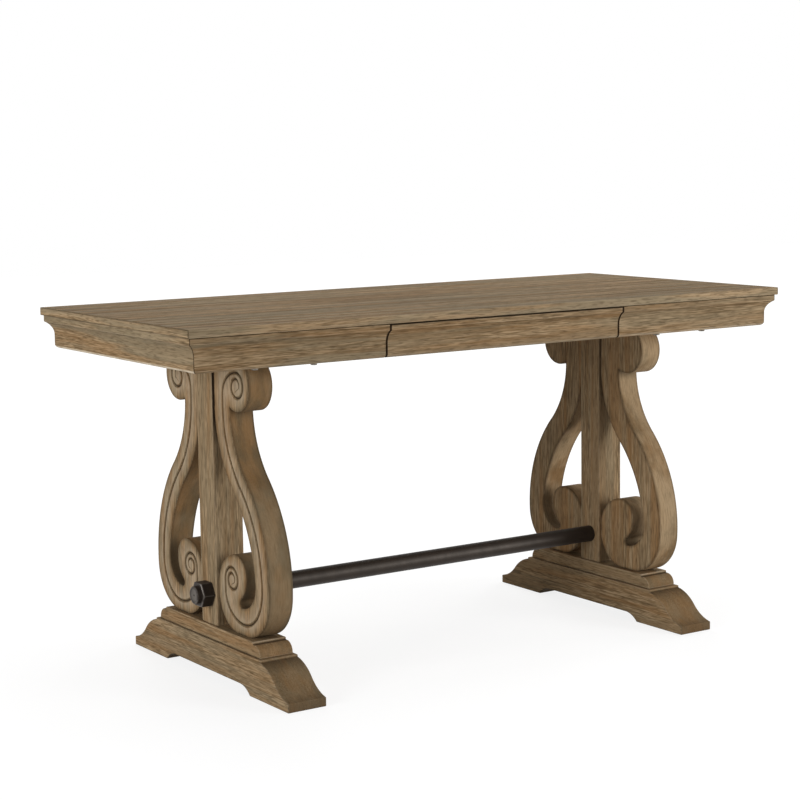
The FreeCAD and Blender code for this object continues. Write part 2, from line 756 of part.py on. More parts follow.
stretcher_tube = along_stretcher("stretcher_tube", "2 * (pedestal_offset - post_face)", "stretcher_diameter",
                                 "stretcher_diameter - 2 * stretcher_wall")
tie_rod = along_stretcher("tie_rod", "2 * (pedestal_offset + post_face + nut_grip)", "tie_rod_diameter")
left_tie_nut = make_tie_nut()
tie_nuts = group("tie_nuts", [left_tie_nut, mirrored("right_tie_nut", left_tie_nut, ACROSS)])
stretcher = [stretcher_tube, tie_rod, tie_nuts]


# Drawer and its slides

def make_drawer_front():
    """A length of the crown moulding, cut free of the apron and hung below the top."""
    body = new_body("drawer_front")
    sketch = sketch_on(body, "YZ_Plane")
    crown_profile(sketch, "desk_depth / 2", -1, "underside - drawer_gap")
    pad(body, sketch, "opening_width - 2 * drawer_gap", "Symmetric")
    return body


def make_channel(label, web, lip, half_height):
    """A pressed channel of a left-hand slide, from the outer face of its web to the edge of its lips."""
    body = new_body(label)
    sketch = sketch_on(body, "XZ_Plane", "-slide_front")
    inward = 1 if number(lip) > number(web) else -1
    low, high = f"slide_up - ({half_height})", f"slide_up + {half_height}"
    inner = f"{web} + {inward} * slide_wall"
    draw(sketch, [(web, low), (lip, low), (lip, f"{low} + slide_wall"), (inner, f"{low} + slide_wall"),
                  (inner, f"{high} - slide_wall"), (lip, f"{high} - slide_wall"), (lip, high), (web, high)])
    channel = pad(body, sketch, "slide_length")
    channel.Reversed = True
    return body


bottom_half = "box_inside + drawer_groove"
drawer_bottom = board("drawer_bottom", (f"-({bottom_half})", bottom_half),
                      ("-frame_depth - drawer_groove", "box_back"), ("bottom_up", "bottom_top"))
drawer_front = drilled("drawer_front", make_drawer_front(), [drawer_bottom, drawer_dowels])
side_blank = board("drawer_left_side", ("-box_half", "-box_inside"), ("-frame_depth", "box_back"),
                   ("box_floor", "box_top"))
left_side = drilled("drawer_left_side", side_blank,
                    [drawer_bottom, drawer_dowels, drawer_back_screws, drawer_slide_screws])
back_blank = board("drawer_back", ("-box_inside", "box_inside"),
                   ("box_back - drawer_side_thickness", "box_back"), ("bottom_top", "box_top"))
drawer_back = drilled("drawer_back", back_blank, [drawer_back_screws])
rail_blank = board("left_runner_rail", ("-rail_face - rail_thickness", "-rail_face"),
                   ("-frame_depth", "frame_depth"), ("underside - rail_height", "underside"))
left_rail = drilled("left_runner_rail", rail_blank, [rail_screws, rail_slide_screws])

middle_half = "slide_height / 2 - slide_wall - slide_play"
inner_half = f"{middle_half} - slide_wall - slide_play"
fixed_slide = make_channel("left_slide_fixed", "-rail_face", "slide_lip - rail_face", "slide_height / 2")
middle_slide = make_channel("left_slide_middle", "slide_wall + slide_play - rail_face",
                            "slide_lip + slide_play - rail_face", middle_half)
drawer_slide = make_channel("left_slide_drawer", "-box_half", "2 * (slide_wall + slide_play) - rail_face",
                            inner_half)
left_slides = [drilled("left_slide_fixed", fixed_slide, [rail_slide_screws]), middle_slide,
               drilled("left_slide_drawer", drawer_slide, [drawer_slide_screws])]
left_hand = [left_side, left_rail] + left_slides
drawer = [drawer_front, drawer_back, drawer_bottom] + left_hand
drawer += [mirrored(piece.Label.replace("left", "right"), piece, ACROSS) for piece in left_hand]


# Every sub-part is tested, then written under its label

fasteners = [foot_lags, plinth_dowels, board_screws, scroll_dowels, mount_bolts, mount_washers, bolt_inserts,
             rail_slide_screws, drawer_slide_screws, rail_screws, drawer_dowels, drawer_back_screws]
subparts = apron + left_pedestal + right_pedestal + carriers + stretcher + drawer + fasteners
doc.recompute()
for thing in doc.Objects:
    if {"Invalid", "Error"} & set(thing.State):
        raise RuntimeError(f"{thing.Label} failed: {thing.getStatusString()}")
for piece in subparts:
    if piece.Shape.isNull() or not piece.Shape.isValid() or not piece.Shape.Solids:
        raise RuntimeError(f"{piece.Label} has no valid solid")
os.makedirs("parts", exist_ok=True)
for piece in subparts:
    piece.Shape.exportStep(f"parts/{piece.Label}.step")
    print(f"{piece.Label}: {len(piece.Shape.Solids)} solid(s), {piece.Shape.Volume / 1000:.1f} cm3")
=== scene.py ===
"""Office desk in weathered oak, with carved scroll pedestals, one drawer and a metal stretcher."""
import json
import math
from collections import namedtuple
from dataclasses import dataclass
from itertools import accumulate, count, product

import bmesh
import bpy
from bpy.props import FloatProperty, FloatVectorProperty, IntProperty, PointerProperty
from mathutils import Euler, Matrix, Vector
from mathutils.geometry import delaunay_2d_cdt


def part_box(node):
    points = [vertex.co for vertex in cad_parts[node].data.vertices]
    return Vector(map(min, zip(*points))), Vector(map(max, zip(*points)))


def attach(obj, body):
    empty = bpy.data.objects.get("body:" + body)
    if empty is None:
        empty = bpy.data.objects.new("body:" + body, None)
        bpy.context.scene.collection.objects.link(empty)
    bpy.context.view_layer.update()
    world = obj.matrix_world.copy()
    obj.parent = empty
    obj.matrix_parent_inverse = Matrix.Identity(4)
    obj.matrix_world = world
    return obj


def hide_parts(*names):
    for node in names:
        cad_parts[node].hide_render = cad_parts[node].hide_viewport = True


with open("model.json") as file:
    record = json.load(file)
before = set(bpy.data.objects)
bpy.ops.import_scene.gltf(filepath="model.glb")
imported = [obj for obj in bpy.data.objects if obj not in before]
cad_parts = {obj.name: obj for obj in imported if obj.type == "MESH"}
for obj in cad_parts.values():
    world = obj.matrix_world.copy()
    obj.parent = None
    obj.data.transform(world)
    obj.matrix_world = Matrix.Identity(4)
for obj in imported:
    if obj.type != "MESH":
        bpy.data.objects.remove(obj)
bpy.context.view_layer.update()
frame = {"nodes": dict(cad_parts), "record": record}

bl_info = {
    "name": "Office desk",
    "version": (1, 0, 0),
    "blender": (4, 5, 0),
    "location": "View3D > Sidebar > Desk",
    "description": "Builds a trestle desk with carved scrolls round its packed frame",
    "category": "Add Mesh",
}

BODY_OF = {node: body for body, nodes in frame["record"]["behaviour"]["bodies"].items() for node in nodes}
ALONG_X, ALONG_Y, ALONG_Z = range(3)
DOWN = Vector((0.0, 0.0, -1.0))
SIDES = (("left", -1), ("right", 1))
ENDS = (("front", -1), ("back", 1))

TOP_LOW, TOP_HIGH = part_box("top_panel")
PLINTH_LOW, PLINTH_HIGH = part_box("right_plinth")
TUBE_LOW, TUBE_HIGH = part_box("stretcher_tube")
POST_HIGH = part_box("right_post")[1]
FOOT_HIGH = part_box("right_foot")[1]
SCROLL_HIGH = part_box("right_back_scroll")[1]
TUBE_AXIS = (TUBE_LOW.z + TUBE_HIGH.z) / 2
TUBE_RADIUS = (TUBE_HIGH.y - TUBE_LOW.y) / 2

# Lengths in metres and turns that tell like from unlike
TINY = 1e-5
SAME_POINT = 1e-6
SAME_CREASE = 1e-7
SHARP_TURN = math.radians(20)
SMOOTH_BEND = math.radians(52)

# Each board has a number that shifts its grain; these are the first numbers of the groups
FIRST_BOARD = {"top": 1.6, "mouldings": 2.0, "drawer_front": 7.0, "feet": 8.0, "plinths": 10.0,
               "posts": 12.0, "scrolls": 14.0, "stretcher": 20.0, "tie_nuts": 21.0, "drawer_box": 22.0,
               "carriers": 26.0, "slides": 40.0}

# How much glaze is left on a group, from 0 to 1; the right scrolls have none, so their sawn curves come out
# paler than the left ones, as painted light on the right pedestal
GLAZE = {"top": 0.9, "drawer_front": 0.3, "feet": 0.35, "plinths": 0.3, "posts": 0.3,
         "left_scrolls": 0.4, "right_scrolls": 0.0, "tie_nuts": 1.0}


# Sizes and colours that a user would change

def length(title, default, text):
    return FloatProperty(name=title, description=text, default=default, min=0, precision=4, unit="LENGTH")


def share(title, default, text):
    return FloatProperty(name=title, description=text, default=default, min=0, max=1, subtype="FACTOR")


def turns(title, default, text):
    return FloatProperty(name=title, description=text, default=default, min=0.5, max=3)


def colour(title, default, text):
    return FloatVectorProperty(name=title, description=text, default=default, size=3, min=0, max=1,
                               subtype="COLOR")


class DeskEdges(bpy.types.PropertyGroup):
    """How sharp the edges are left, and how far they are rubbed."""
    oak_round: length("Oak rounding", 0.0018, "Radius of the eased edges of the oak")
    oak_rub: length("Oak rub", 0.005, "How far the rubbed finish runs in from an oak edge")
    step_rub: length("Step rub", 0.0008, "How far it runs in on pieces with small steps")
    board_round: length("Board rounding", 0.001, "Radius of the edges of the inner boards")
    metal_round: length("Metal rounding", 0.0009, "Radius of the edges of the nuts and the tube")
    rubbed: share("Rubbed", 0.12, "How pale the plain edges are rubbed")
    joint_open: length("Joint", 0.0005, "Half the width of the fine line where two mouldings meet")
    joint_round: length("Joint rounding", 0.0013, "Radius of the mouldings' edges at the top and drawer")
    curve_step: length("Curve step", 0.004, "Length of a facet on a curved outline")


class DeskMoulding(bpy.types.PropertyGroup):
    """Crown moulding of the apron, measured in from the edge of the top."""
    fascia_setback: length("Fascia setback", 0.0056, "From the edge of the top to the fascia")
    fascia_height: length("Fascia height", 0.0135, "Straight part under the top")
    cove_depth: length("Cove depth", 0.0164, "How far the hollow runs in")
    cove_height: length("Cove height", 0.027, "How far the hollow runs down")
    lip_radius: length("Lip radius", 0.0085, "Rounding of the lower edge")
    thickness: length("Thickness", 0.024, "Wood behind the flat of the moulding")


class DeskPedestal(bpy.types.PropertyGroup):
    """Outline of the feet and plinths, measured out from the post's axis."""
    toe_height: length("Toe height", 0.019, "Upright end of the foot")
    ledge_reach: length("Ledge reach", 0.23, "Where the raised middle of the foot ends")
    ledge_step: length("Ledge step", 0.0045, "Step above the foot's long curve")
    ogee_radius: length("Ogee radius", 0.092, "Both arcs of the foot's curved end")
    relief_height: length("Relief height", 0.0175, "Hollow under the foot")
    relief_reach: length("Relief reach", 0.183, "Where the hollow meets the floor")
    relief_run: length("Relief run", 0.04, "Length of the arc at each end of the hollow")
    plinth_round: length("Plinth rounding", 0.022, "Quarter round of the plinth's ends")
    plinth_fillet: length("Plinth fillet", 0.005, "Small square step above the quarter round")
    plinth_quirk: length("Plinth quirk", 0.005, "Flat between the quarter round and the step")


class DeskScroll(bpy.types.PropertyGroup):
    """Outline and carving of a scroll, measured out from the post's axis and up from the plinth."""
    stem_width: length("Stem width", 0.0645, "Band beside the post, under the volute")
    volute_radius: length("Volute radius", 0.055, "Round head under the apron")
    volute_offset: length("Volute offset", 0.027, "From the stem's face to the middle of the head")
    belly_height: length("Belly height", 0.1088, "Where the band stands out furthest")
    band_width: length("Band width", 0.0544, "Band at its widest reach")
    hollow_height: length("Hollow height", 0.0807, "Where the inner edge stands out furthest")
    outer_bend_share: share("Outer bend", 0.4, "Where the outer edge changes its curve")
    inner_bend_share: share("Inner bend", 0.43, "Where the inner edge changes its curve")
    crotch_drop: length("Crotch drop", 0.1045, "From the apron to where band and post part")
    heel_reach: length("Heel reach", 0.1473, "Where the band leaves the plinth")
    lobe_height: length("Lobe height", 0.1645, "Top of the curled end")
    lobe_brow_share: share("Lobe brow", 0.364, "Share of the lobe's width on its smaller arc")
    lobe_flat: length("Lobe flat", 0.01, "Straight part of the lobe against the post")
    slot_width: length("Slot width", 0.0395, "Gap between the lobe and the band")
    slot_hook: length("Slot hook", 0.0195, "How far the slot curls under the lobe")
    slot_end_radius: length("Slot end", 0.009, "Round end of the slot")
    slot_floor_height: length("Slot floor", 0.057, "Lowest part of the slot")
    groove_inset: length("Groove inset", 0.029, "From the outer edge to the middle of the groove")
    groove_width: length("Groove width", 0.0062, "Across the carved groove")
    groove_depth: length("Groove depth", 0.0035, "Depth of the carved groove")
    lip_width: length("Groove lip", 0.0022, "Rubbed lip on each side of the groove")
    eye_radius: length("Eye", 0.0075, "Where the spirals end")
    volute_ring: length("Volute ring", 0.0285, "First turn of the upper spiral")
    volute_eye_drop: length("Volute eye drop", 0.0025, "Eye of the upper spiral, below the head's middle")
    lobe_eye_height: length("Lobe eye height", 0.11, "Eye of the lower spiral")
    cup_height: length("Cup height", 0.023, "Lowest part of the groove, under the slot")
    cup_heel_height: length("Cup heel", 0.086, "Where the groove turns up beside the lobe")
    volute_turns: turns("Volute turns", 1.42, "Turns of the upper spiral")
    lobe_turns: turns("Lobe turns", 1.75, "Turns of the lower spiral")


class DeskMetal(bpy.types.PropertyGroup):
    """Stretcher, nuts, bolts and slides."""
    tube_wall: length("Tube wall", 0.0025, "Wall of the stretcher tube")
    nut_flats: length("Nut flats", 0.05, "Across the flats of the tie nuts")
    nut_length: length("Nut length", 0.0275, "Hexagon of the tie nuts")
    boss_dish: length("Boss dish", 0.0012, "Depth of the dish in the end of the boss")
    slide_wall: length("Slide wall", 0.0014, "Sheet of the drawer slides")
    bolt_flats: length("Bolt flats", 0.013, "Across the flats of the bolt heads")
    screw_head: length("Screw head", 0.007, "Diameter of the countersunk heads")
    recess_width: length("Recess width", 0.0009, "Width of a slot of the cross recess")
    recess_span: length("Recess span", 0.0042, "Length of a slot of the cross recess")
    round_steps: IntProperty(name="Round steps", description="Facets round the tube and bosses",
                             default=96, min=12)


class DeskFinish(bpy.types.PropertyGroup):
    """Colours of the desk."""
    oak_light: colour("Oak light", (0.37, 0.265, 0.155), "Pale early wood")
    oak_mid: colour("Oak middle", (0.23, 0.155, 0.083), "Body of the oak")
    oak_dark: colour("Oak dark", (0.114, 0.075, 0.038), "Dark late wood")
    oak_grey: colour("Oak grey", (0.205, 0.17, 0.11), "Grey glaze over the oak")
    oak_warm: colour("Oak warm", (0.235, 0.128, 0.052), "Brown that shows through the glaze")
    oak_cut: colour("Oak cut", (0.108, 0.074, 0.038), "Sawn curves, which took up more stain")
    oak_pore: colour("Oak pores", (0.045, 0.03, 0.017), "Brushed pores")
    # Also the colour of the painted shade in creases, recesses, gaps and under parts
    oak_stain_and_shade: colour("Oak stain", (0.016, 0.01, 0.006), "Dark glaze left in joints and carving")
    # Also the colour of the painted highlight on the mouldings' lower lips
    oak_worn_and_highlight: colour("Oak worn", (0.56, 0.47, 0.35), "Edges rubbed pale")
    inner_light: colour("Inner light", (0.58, 0.44, 0.29), "Pale grain of the inner timber")
    inner_mid: colour("Inner middle", (0.47, 0.335, 0.205), "Body of the inner timber")
    inner_dark: colour("Inner dark", (0.33, 0.21, 0.115), "Dark grain of the inner timber")
    iron: colour("Iron", (0.019, 0.0132, 0.0098), "Blackened metal of the stretcher")
    iron_worn: colour("Iron worn", (0.17, 0.155, 0.14), "Metal that shows on rubbed edges")
    zinc: colour("Zinc", (0.5, 0.5, 0.5), "Plated slides and screws")
    bolt: colour("Bolt", (0.24, 0.215, 0.18), "Dull coat of the mounting bolts")
    floor: colour("Floor", (0.5, 0.5, 0.5), "Studio floor under its white glow")


SETTINGS = {"desk_edges": DeskEdges, "desk_moulding": DeskMoulding, "desk_pedestal": DeskPedestal,
            "desk_scroll": DeskScroll, "desk_metal": DeskMetal, "desk_finish": DeskFinish}


# Shader graphs

class Value:
    """A number that changes over a surface; sums on it add Math nodes."""

    def __init__(self, graph, socket):
        self.graph = graph
        self.socket = socket

    def math(self, operation, first, second):
        return self.graph.value("ShaderNodeMath", {"operation": operation}, {0: first, 1: second})

    def __add__(self, other):
        return self.math("ADD", self, other)

    def __sub__(self, other):
        return self.math("SUBTRACT", self, other)

    def __rsub__(self, other):
        return self.math("SUBTRACT", other, self)

    def __mul__(self, other):
        return self.math("MULTIPLY", self, other)

    __radd__ = __add__
    __rmul__ = __mul__

    def between(self, low, high):
        """0 up to low, 1 from high, and a smooth rise between them."""
        return self.graph.value("ShaderNodeMapRange", {"interpolation_type": "SMOOTHSTEP"},
                                {"Value": self, "From Min": low, "From Max": high})


class Graph:
    """The nodes of one material or world."""

    def __init__(self, tree):
        self.tree = tree
        self.tree.nodes.clear()

    def node(self, kind, settings=None, sockets=None):
        """A node with its settings made first, then its sockets given values or links."""
        made = self.tree.nodes.new(kind)
        for name, setting in (settings or {}).items():
            if name == "stops":
                self.set_stops(made.color_ramp, setting)
            else:
                setattr(made, name, setting)
        for name, given in (sockets or {}).items():
            socket = self.socket(made, name)
            if isinstance(given, Value):
                self.tree.links.new(given.socket, socket)
            elif isinstance(given, bpy.types.NodeSocket):
                self.tree.links.new(given, socket)
            else:
                socket.default_value = given
        return made

    @staticmethod
    def socket(made, name):
        """The input with this number, this identifier or, failing that, this name."""
        if isinstance(name, int):
            return made.inputs[name]
        by_identifier = [socket for socket in made.inputs if socket.identifier == name]
        return by_identifier[0] if by_identifier else made.inputs[name]

    @staticmethod
    def set_stops(ramp, stops):
        while len(ramp.elements) < len(stops):
            ramp.elements.new(1.0)
        for element, (position, tone) in zip(ramp.elements, stops):
            element.position = position
            element.color = (*tone, 1.0)

    def value(self, kind, settings=None, sockets=None, output=0):
        return Value(self, self.node(kind, settings, sockets).outputs[output])

    def attribute(self, name):
        return self.value("ShaderNodeAttribute", {"attribute_name": name}, output="Fac")

    def mottle(self, scale, detail):
        """Even noise on the object's own coordinates."""
        place = self.node("ShaderNodeTexCoord").outputs["Object"]
        return self.value("ShaderNodeTexNoise", None, {"Vector": place, "Scale": scale, "Detail": detail})

    def ramp(self, amount, *tones):
        """A colour that passes through the tones at even steps of the amount."""
        stops = [(place / (len(tones) - 1), tone) for place, tone in enumerate(tones)]
        return self.node("ShaderNodeValToRGB", {"stops": stops}, {"Fac": amount}).outputs["Color"]

    def blend(self, first, second, amount):
        """The first colour, turned to the second by an amount."""
        mixed = self.node("ShaderNodeMix", {"data_type": "RGBA"}, {
            "Factor_Float": amount,
            "A_Color": first if isinstance(first, bpy.types.NodeSocket) else (*first, 1.0),
            "B_Color": second if isinstance(second, bpy.types.NodeSocket) else (*second, 1.0)})
        return next(output for output in mixed.outputs if output.identifier == "Result_Color")

    def bump(self, strength, distance, height):
        relief = {"Strength": strength, "Distance": distance, "Height": height}
        return self.node("ShaderNodeBump", None, relief).outputs["Normal"]

    def surface(self, **sockets):
        """Ends the graph in a principled surface."""
        shader = self.node("ShaderNodeBsdfPrincipled", None,
                           {name.replace("_", " "): given for name, given in sockets.items()})
        self.node("ShaderNodeOutputMaterial", None, {"Surface": shader.outputs["BSDF"]})


def new_material(name):
    material = bpy.data.materials.new(name)
    material.use_nodes = True
    return material, Graph(material.node_tree)


def dimmed(tone, part):
    return tuple(part * channel for channel in tone)


class Grain:
    """Noise stretched along the grain of a board, different on each board."""
    SHIFT_ALONG, SHIFT_ACROSS, SHIFT_THROUGH, SHIFT_EDGE = 7.31, 3.77, 5.13, 4.7

    def __init__(self, graph, along):
        coordinates = graph.node("ShaderNodeTexCoord").outputs["Object"]
        split = graph.node("ShaderNodeSeparateXYZ", None, {"Vector": coordinates})
        axes = [Value(graph, output) for output in split.outputs]
        turned = graph.attribute("turned")
        self.graph = graph
        self.board = graph.attribute("board")
        self.run = graph.attribute("run")
        self.thickness = axes[ALONG_X]
        lengthwise = axes.pop(along)
        crosswise, self.through = axes
        self.along = lengthwise + turned * (crosswise - lengthwise)
        self.across = crosswise + turned * (lengthwise - crosswise)

    def pattern(self, detail, roughness, *place):
        spot = self.graph.value("ShaderNodeCombineXYZ", None, dict(zip("XYZ", place)))
        return self.graph.value("ShaderNodeTexNoise", None, {
            "Vector": spot, "Scale": 1.0, "Detail": detail, "Roughness": roughness})

    def noise(self, along, across, detail, sway=0.0, roughness=0.6):
        """Features so many to the metre along and across the grain, pushed sideways by the sway."""
        return self.pattern(detail, roughness,
                            self.along * along + self.board * self.SHIFT_ALONG,
                            self.across * across + self.board * self.SHIFT_ACROSS + sway,
                            self.through * across + self.board * self.SHIFT_THROUGH + sway)

    def edge_noise(self, along, across, detail, roughness=0.6):
        """Features that follow a sawn edge, so many to the metre along and across it."""
        return self.pattern(detail, roughness, self.run * along, self.thickness * across,
                            self.board * self.SHIFT_EDGE)


def sawn_oak(graph, grain, finish, glaze):
    """Colour of sawn curves: mottled, scratched by the saw, and paler where less glaze was left."""
    mottle = grain.edge_noise(along=9.0, across=26.0, detail=4.0).between(0.38, 0.62)
    grey = grain.edge_noise(along=6.0, across=8.0, detail=3.0).between(0.45, 0.65)
    pale = grain.edge_noise(along=11.0, across=17.0, detail=4.0).between(0.34, 0.6)
    scratches = grain.edge_noise(along=34.0, across=330.0, detail=2.0).between(0.44, 0.7)
    little_glaze = (0.7 - glaze * 1.4).between(0.0, 1.0)
    sawn = graph.blend(finish.oak_cut, finish.oak_warm, mottle * 0.75)
    sawn = graph.blend(sawn, finish.oak_grey, grey * 0.48)
    sawn = graph.blend(sawn, finish.oak_light, little_glaze * pale)
    return graph.blend(sawn, finish.oak_dark, scratches * 0.42)


def oak_material(finish, along, name):
    """Brushed oak under a worn grey glaze: streaks, short flecks and pores run along the board."""
    _, graph = new_material(name)
    grain = Grain(graph, along)
    wear, stain, glaze, cut, figure = (
        graph.attribute(title) for title in ("wear", "stain", "glaze", "cut", "figure"))
    sway = grain.noise(along=1.1, across=3.0, detail=2.0) * 1.6
    streaks = grain.noise(along=2.2, across=60.0, detail=2.0, sway=sway)
    lines = grain.noise(along=4.5, across=210.0, detail=2.0, sway=sway * 2.5, roughness=0.65)
    flecks = grain.noise(along=22.0, across=450.0, detail=1.5, sway=sway * 4.0, roughness=0.7)
    broad = (grain.noise(along=1.2, across=40.0, detail=1.5, sway=sway + 6.0) - 0.5) * figure
    pores = grain.noise(along=40.0, across=400.0, detail=1.0, sway=sway * 4.0 + 9.0).between(0.5, 0.7)
    grey = grain.noise(along=1.8, across=34.0, detail=2.0, sway=sway).between(0.42, 0.58)
    warm = grain.noise(along=1.8, across=48.0, detail=2.0, sway=sway + 4.0).between(0.4, 0.62)
    rubbing = grain.noise(along=30.0, across=60.0, detail=3.0).between(0.34, 0.62)

    tone = (streaks * 0.14 + lines * 0.27 + flecks * 0.59 + broad * 0.6).between(0.35, 0.65)
    body = graph.ramp(tone, finish.oak_dark, finish.oak_mid, finish.oak_light)
    body = graph.blend(body, finish.oak_warm, warm * (0.65 - glaze * 0.35))
    body = graph.blend(body, finish.oak_grey, (0.2 + glaze * 0.5) * grey)
    body = graph.blend(body, sawn_oak(graph, grain, finish, glaze), cut * 0.85)
    body = graph.blend(body, finish.oak_pore, pores * (0.44 - cut * 0.39))
    # Rubbed edges, and the painted highlight along the mouldings' lower lips
    body = graph.blend(body, finish.oak_worn_and_highlight, wear * (0.5 + rubbing * 0.5))
    # Dark glaze, and painted shade in creases, recesses, gaps and under parts
    body = graph.blend(body, finish.oak_stain_and_shade, stain * 0.95)

    height = (lines * 0.45 + flecks * 0.3 - pores * 0.6) * (1 - cut * 0.85)
    graph.surface(Base_Color=body, Roughness=0.58 + pores * 0.2 + flecks * 0.16, Specular_IOR_Level=0.04,
                  Normal=graph.bump(strength=0.18, distance=0.0007, height=height))


def inner_material(finish, along, name):
    """Plain sanded timber of the drawer and the boards under the top."""
    _, graph = new_material(name)
    grain = Grain(graph, along)
    sway = grain.noise(along=1.1, across=3.0, detail=2.0) * 2.0
    streaks = grain.noise(along=1.5, across=34.0, detail=4.0, sway=sway * 2.0)
    flecks = grain.noise(along=8.0, across=300.0, detail=2.0, sway=sway * 5.0)
    tone = (streaks * 0.7 + flecks * 0.3).between(0.25, 0.75)
    body = graph.ramp(tone, finish.inner_dark, finish.inner_mid, finish.inner_light)
    graph.surface(Base_Color=body, Roughness=0.55 + flecks * 0.15, Specular_IOR_Level=0.3,
                  Normal=graph.bump(strength=0.25, distance=0.0004, height=streaks * 0.3 + flecks))


def iron_material(finish, along, name):
    """Black-bronze paint, satin and a little uneven, rubbed through on the edges."""
    _, graph = new_material(name)
    cloud = graph.mottle(scale=38.0, detail=4.0)
    grit = graph.mottle(scale=900.0, detail=2.0)
    rubbed = graph.attribute("wear") * cloud.between(0.38, 0.62)
    shade = cloud.between(0.4, 0.7) * 0.5 + graph.attribute("glaze") * 0.5
    body = graph.blend(finish.iron, dimmed(finish.iron, 0.4), shade)
    body = graph.blend(body, finish.iron_worn, rubbed * 0.75)
    graph.surface(Base_Color=body, Roughness=0.44 + cloud * 0.14 - rubbed * 0.1, Metallic=rubbed * 0.8,
                  Specular_IOR_Level=0.28, Specular_Tint=(1.0, 0.9, 0.8, 1.0),
                  Normal=graph.bump(strength=0.15, distance=0.0003, height=grit))


def zinc_material(finish, along, name):
    """Bright zinc plate with faint drawing lines."""
    _, graph = new_material(name)
    grain = Grain(graph, along)
    lines = grain.noise(along=6.0, across=900.0, detail=2.0)
    cloud = grain.noise(along=40.0, across=40.0, detail=3.0)
    body = graph.blend(finish.zinc, dimmed(finish.zinc, 0.72), cloud.between(0.35, 0.7))
    graph.surface(Base_Color=body, Metallic=1.0, Roughness=0.3 + lines * 0.16,
                  Normal=graph.bump(strength=0.1, distance=0.0002, height=lines))


def bolt_material(finish, along, name):
    """Dull phosphate coat, mottled a little."""
    _, graph = new_material(name)
    cloud = graph.mottle(scale=300.0, detail=3.0)
    body = graph.blend(finish.bolt, dimmed(finish.bolt, 0.6), cloud.between(0.35, 0.7))
    graph.surface(Base_Color=body, Metallic=0.5, Roughness=0.5 + cloud * 0.2)


# Recipe of each kind, which takes the finish, the axis of the grain and a name, and the slot of its pieces
RECIPES = {"oak": (oak_material, "weathered_wood"), "inner": (inner_material, "inner_wood"),
           "iron": (iron_material, "dark_iron"), "zinc": (zinc_material, "zinc_steel"),
           "bolt": (bolt_material, "zinc_steel")}


def coat(kind, along):
    """The material of a kind whose grain runs along an axis, made when it is first asked for."""
    name = f"desk_{kind}_{'xyz'[along]}"
    if name not in bpy.data.materials:
        RECIPES[kind][0](bpy.context.scene.desk_finish, along, name)
    return bpy.data.materials[name]


# Outlines

@dataclass
class Spot:
    """A point of an outline, with how rubbed and how stained the wood is there; the rubbing takes in painted
    highlight, the staining painted shade.
    """
    at: Vector
    wear: float = 0.0
    stain: float = 0.0
    corner: object = None


def neighbours(loop):
    """Each item of a closed loop, between the one before it and the one after it."""
    return zip(loop[-1:] + loop[:-1], loop, loop[1:] + loop[:1])


def anticlockwise(points):
    """The points of a closed outline, turned round if they run clockwise."""
    area = sum(here.x * after.y - after.x * here.y for _, here, after in neighbours(points))
    return points if area > 0 else points[::-1]


def rectangle(low, high):
    return [Vector(low), Vector((high[0], low[1])), Vector(high), Vector((low[0], high[1]))]


def arc(start, end, radius, turn, step):
    """Points from the start up to, but without, the end; turn is 1 for anticlockwise, -1 for clockwise."""
    chord = end - start
    rise = math.sqrt(max(radius ** 2 - chord.length_squared / 4, 0.0))
    centre = (start + end) / 2 + Vector((-chord.y, chord.x)).normalized() * rise * turn
    spoke = start - centre
    sweep = 2 * math.asin(min(chord.length / 2 / radius, 1.0)) * turn
    facets = max(2, math.ceil(radius * abs(sweep) / step))
    return [centre + Matrix.Rotation(sweep * place / facets, 2) @ spoke for place in range(facets)]


def trace(corners, step):
    """An outline of corners (across, up), some with the (radius, turn) of the arc that leaves them."""
    points = [Vector(corner[:2]) for corner in corners]
    traced = []
    for corner, (_, start, end) in zip(corners, neighbours(points)):
        traced += [start] if len(corner) == 2 else arc(start, end, *corner[2:], step)
    return anticlockwise(traced)


class Corner:
    """The rounding of a corner: its middle, and the way that deeper outlines of the corner run."""

    def __init__(self, here, back, on, turn, cut):
        half = abs(turn) / 2
        inside = (back.normalized() + on.normalized()).normalized()
        self.radius = cut / math.tan(half)
        self.spine = inside / math.cos(half)
        self.centre = here + self.spine * self.radius
        self.middle = self.centre - inside * self.radius
        self.hollow = turn < 0

    def inset(self, at, distance):
        """A place of the rounding moved into the wood; past the middle, the corner is sharp again."""
        if self.hollow:
            return at + (at - self.centre) * distance / self.radius
        if distance < self.radius:
            return at.lerp(self.centre, distance / self.radius)
        return self.centre + self.spine * (distance - self.radius)


HOLLOW_CORNER = 3        # an inside corner is this many times tighter
EDGE_SHARE = 0.45        # a rounding takes up no more than this of the edges beside it


def soften(points, radius, rub, rubbed):
    """Spots of an anticlockwise outline, its sharp corners rounded and rubbed, its inside corners stained."""
    spots = []
    for before, here, after in neighbours(points):
        back, on = before - here, after - here
        turn = on.angle_signed(-back)
        if abs(turn) < SHARP_TURN:
            spots.append(Spot(here))
            continue
        wear, stain = (rubbed, 0.0) if turn > 0 else (0.0, 1.0)
        rounding = radius if turn > 0 else radius / HOLLOW_CORNER
        cut = min(rounding * math.tan(abs(turn) / 2), back.length * EDGE_SHARE, on.length * EDGE_SHARE)
        corner = Corner(here, back, on, turn, cut)
        first, last = here + back.normalized() * cut, here + on.normalized() * cut
        if back.length > 2 * (cut + rub):
            spots.append(Spot(first + back.normalized() * rub))
        spots.append(Spot(first, wear / 2, stain / 2, corner))
        spots.append(Spot(corner.middle, wear, stain, corner))
        spots.append(Spot(last, wear / 2, stain / 2, corner))
        if on.length > 2 * (cut + rub):
            spots.append(Spot(last + on.normalized() * rub))
    return spots


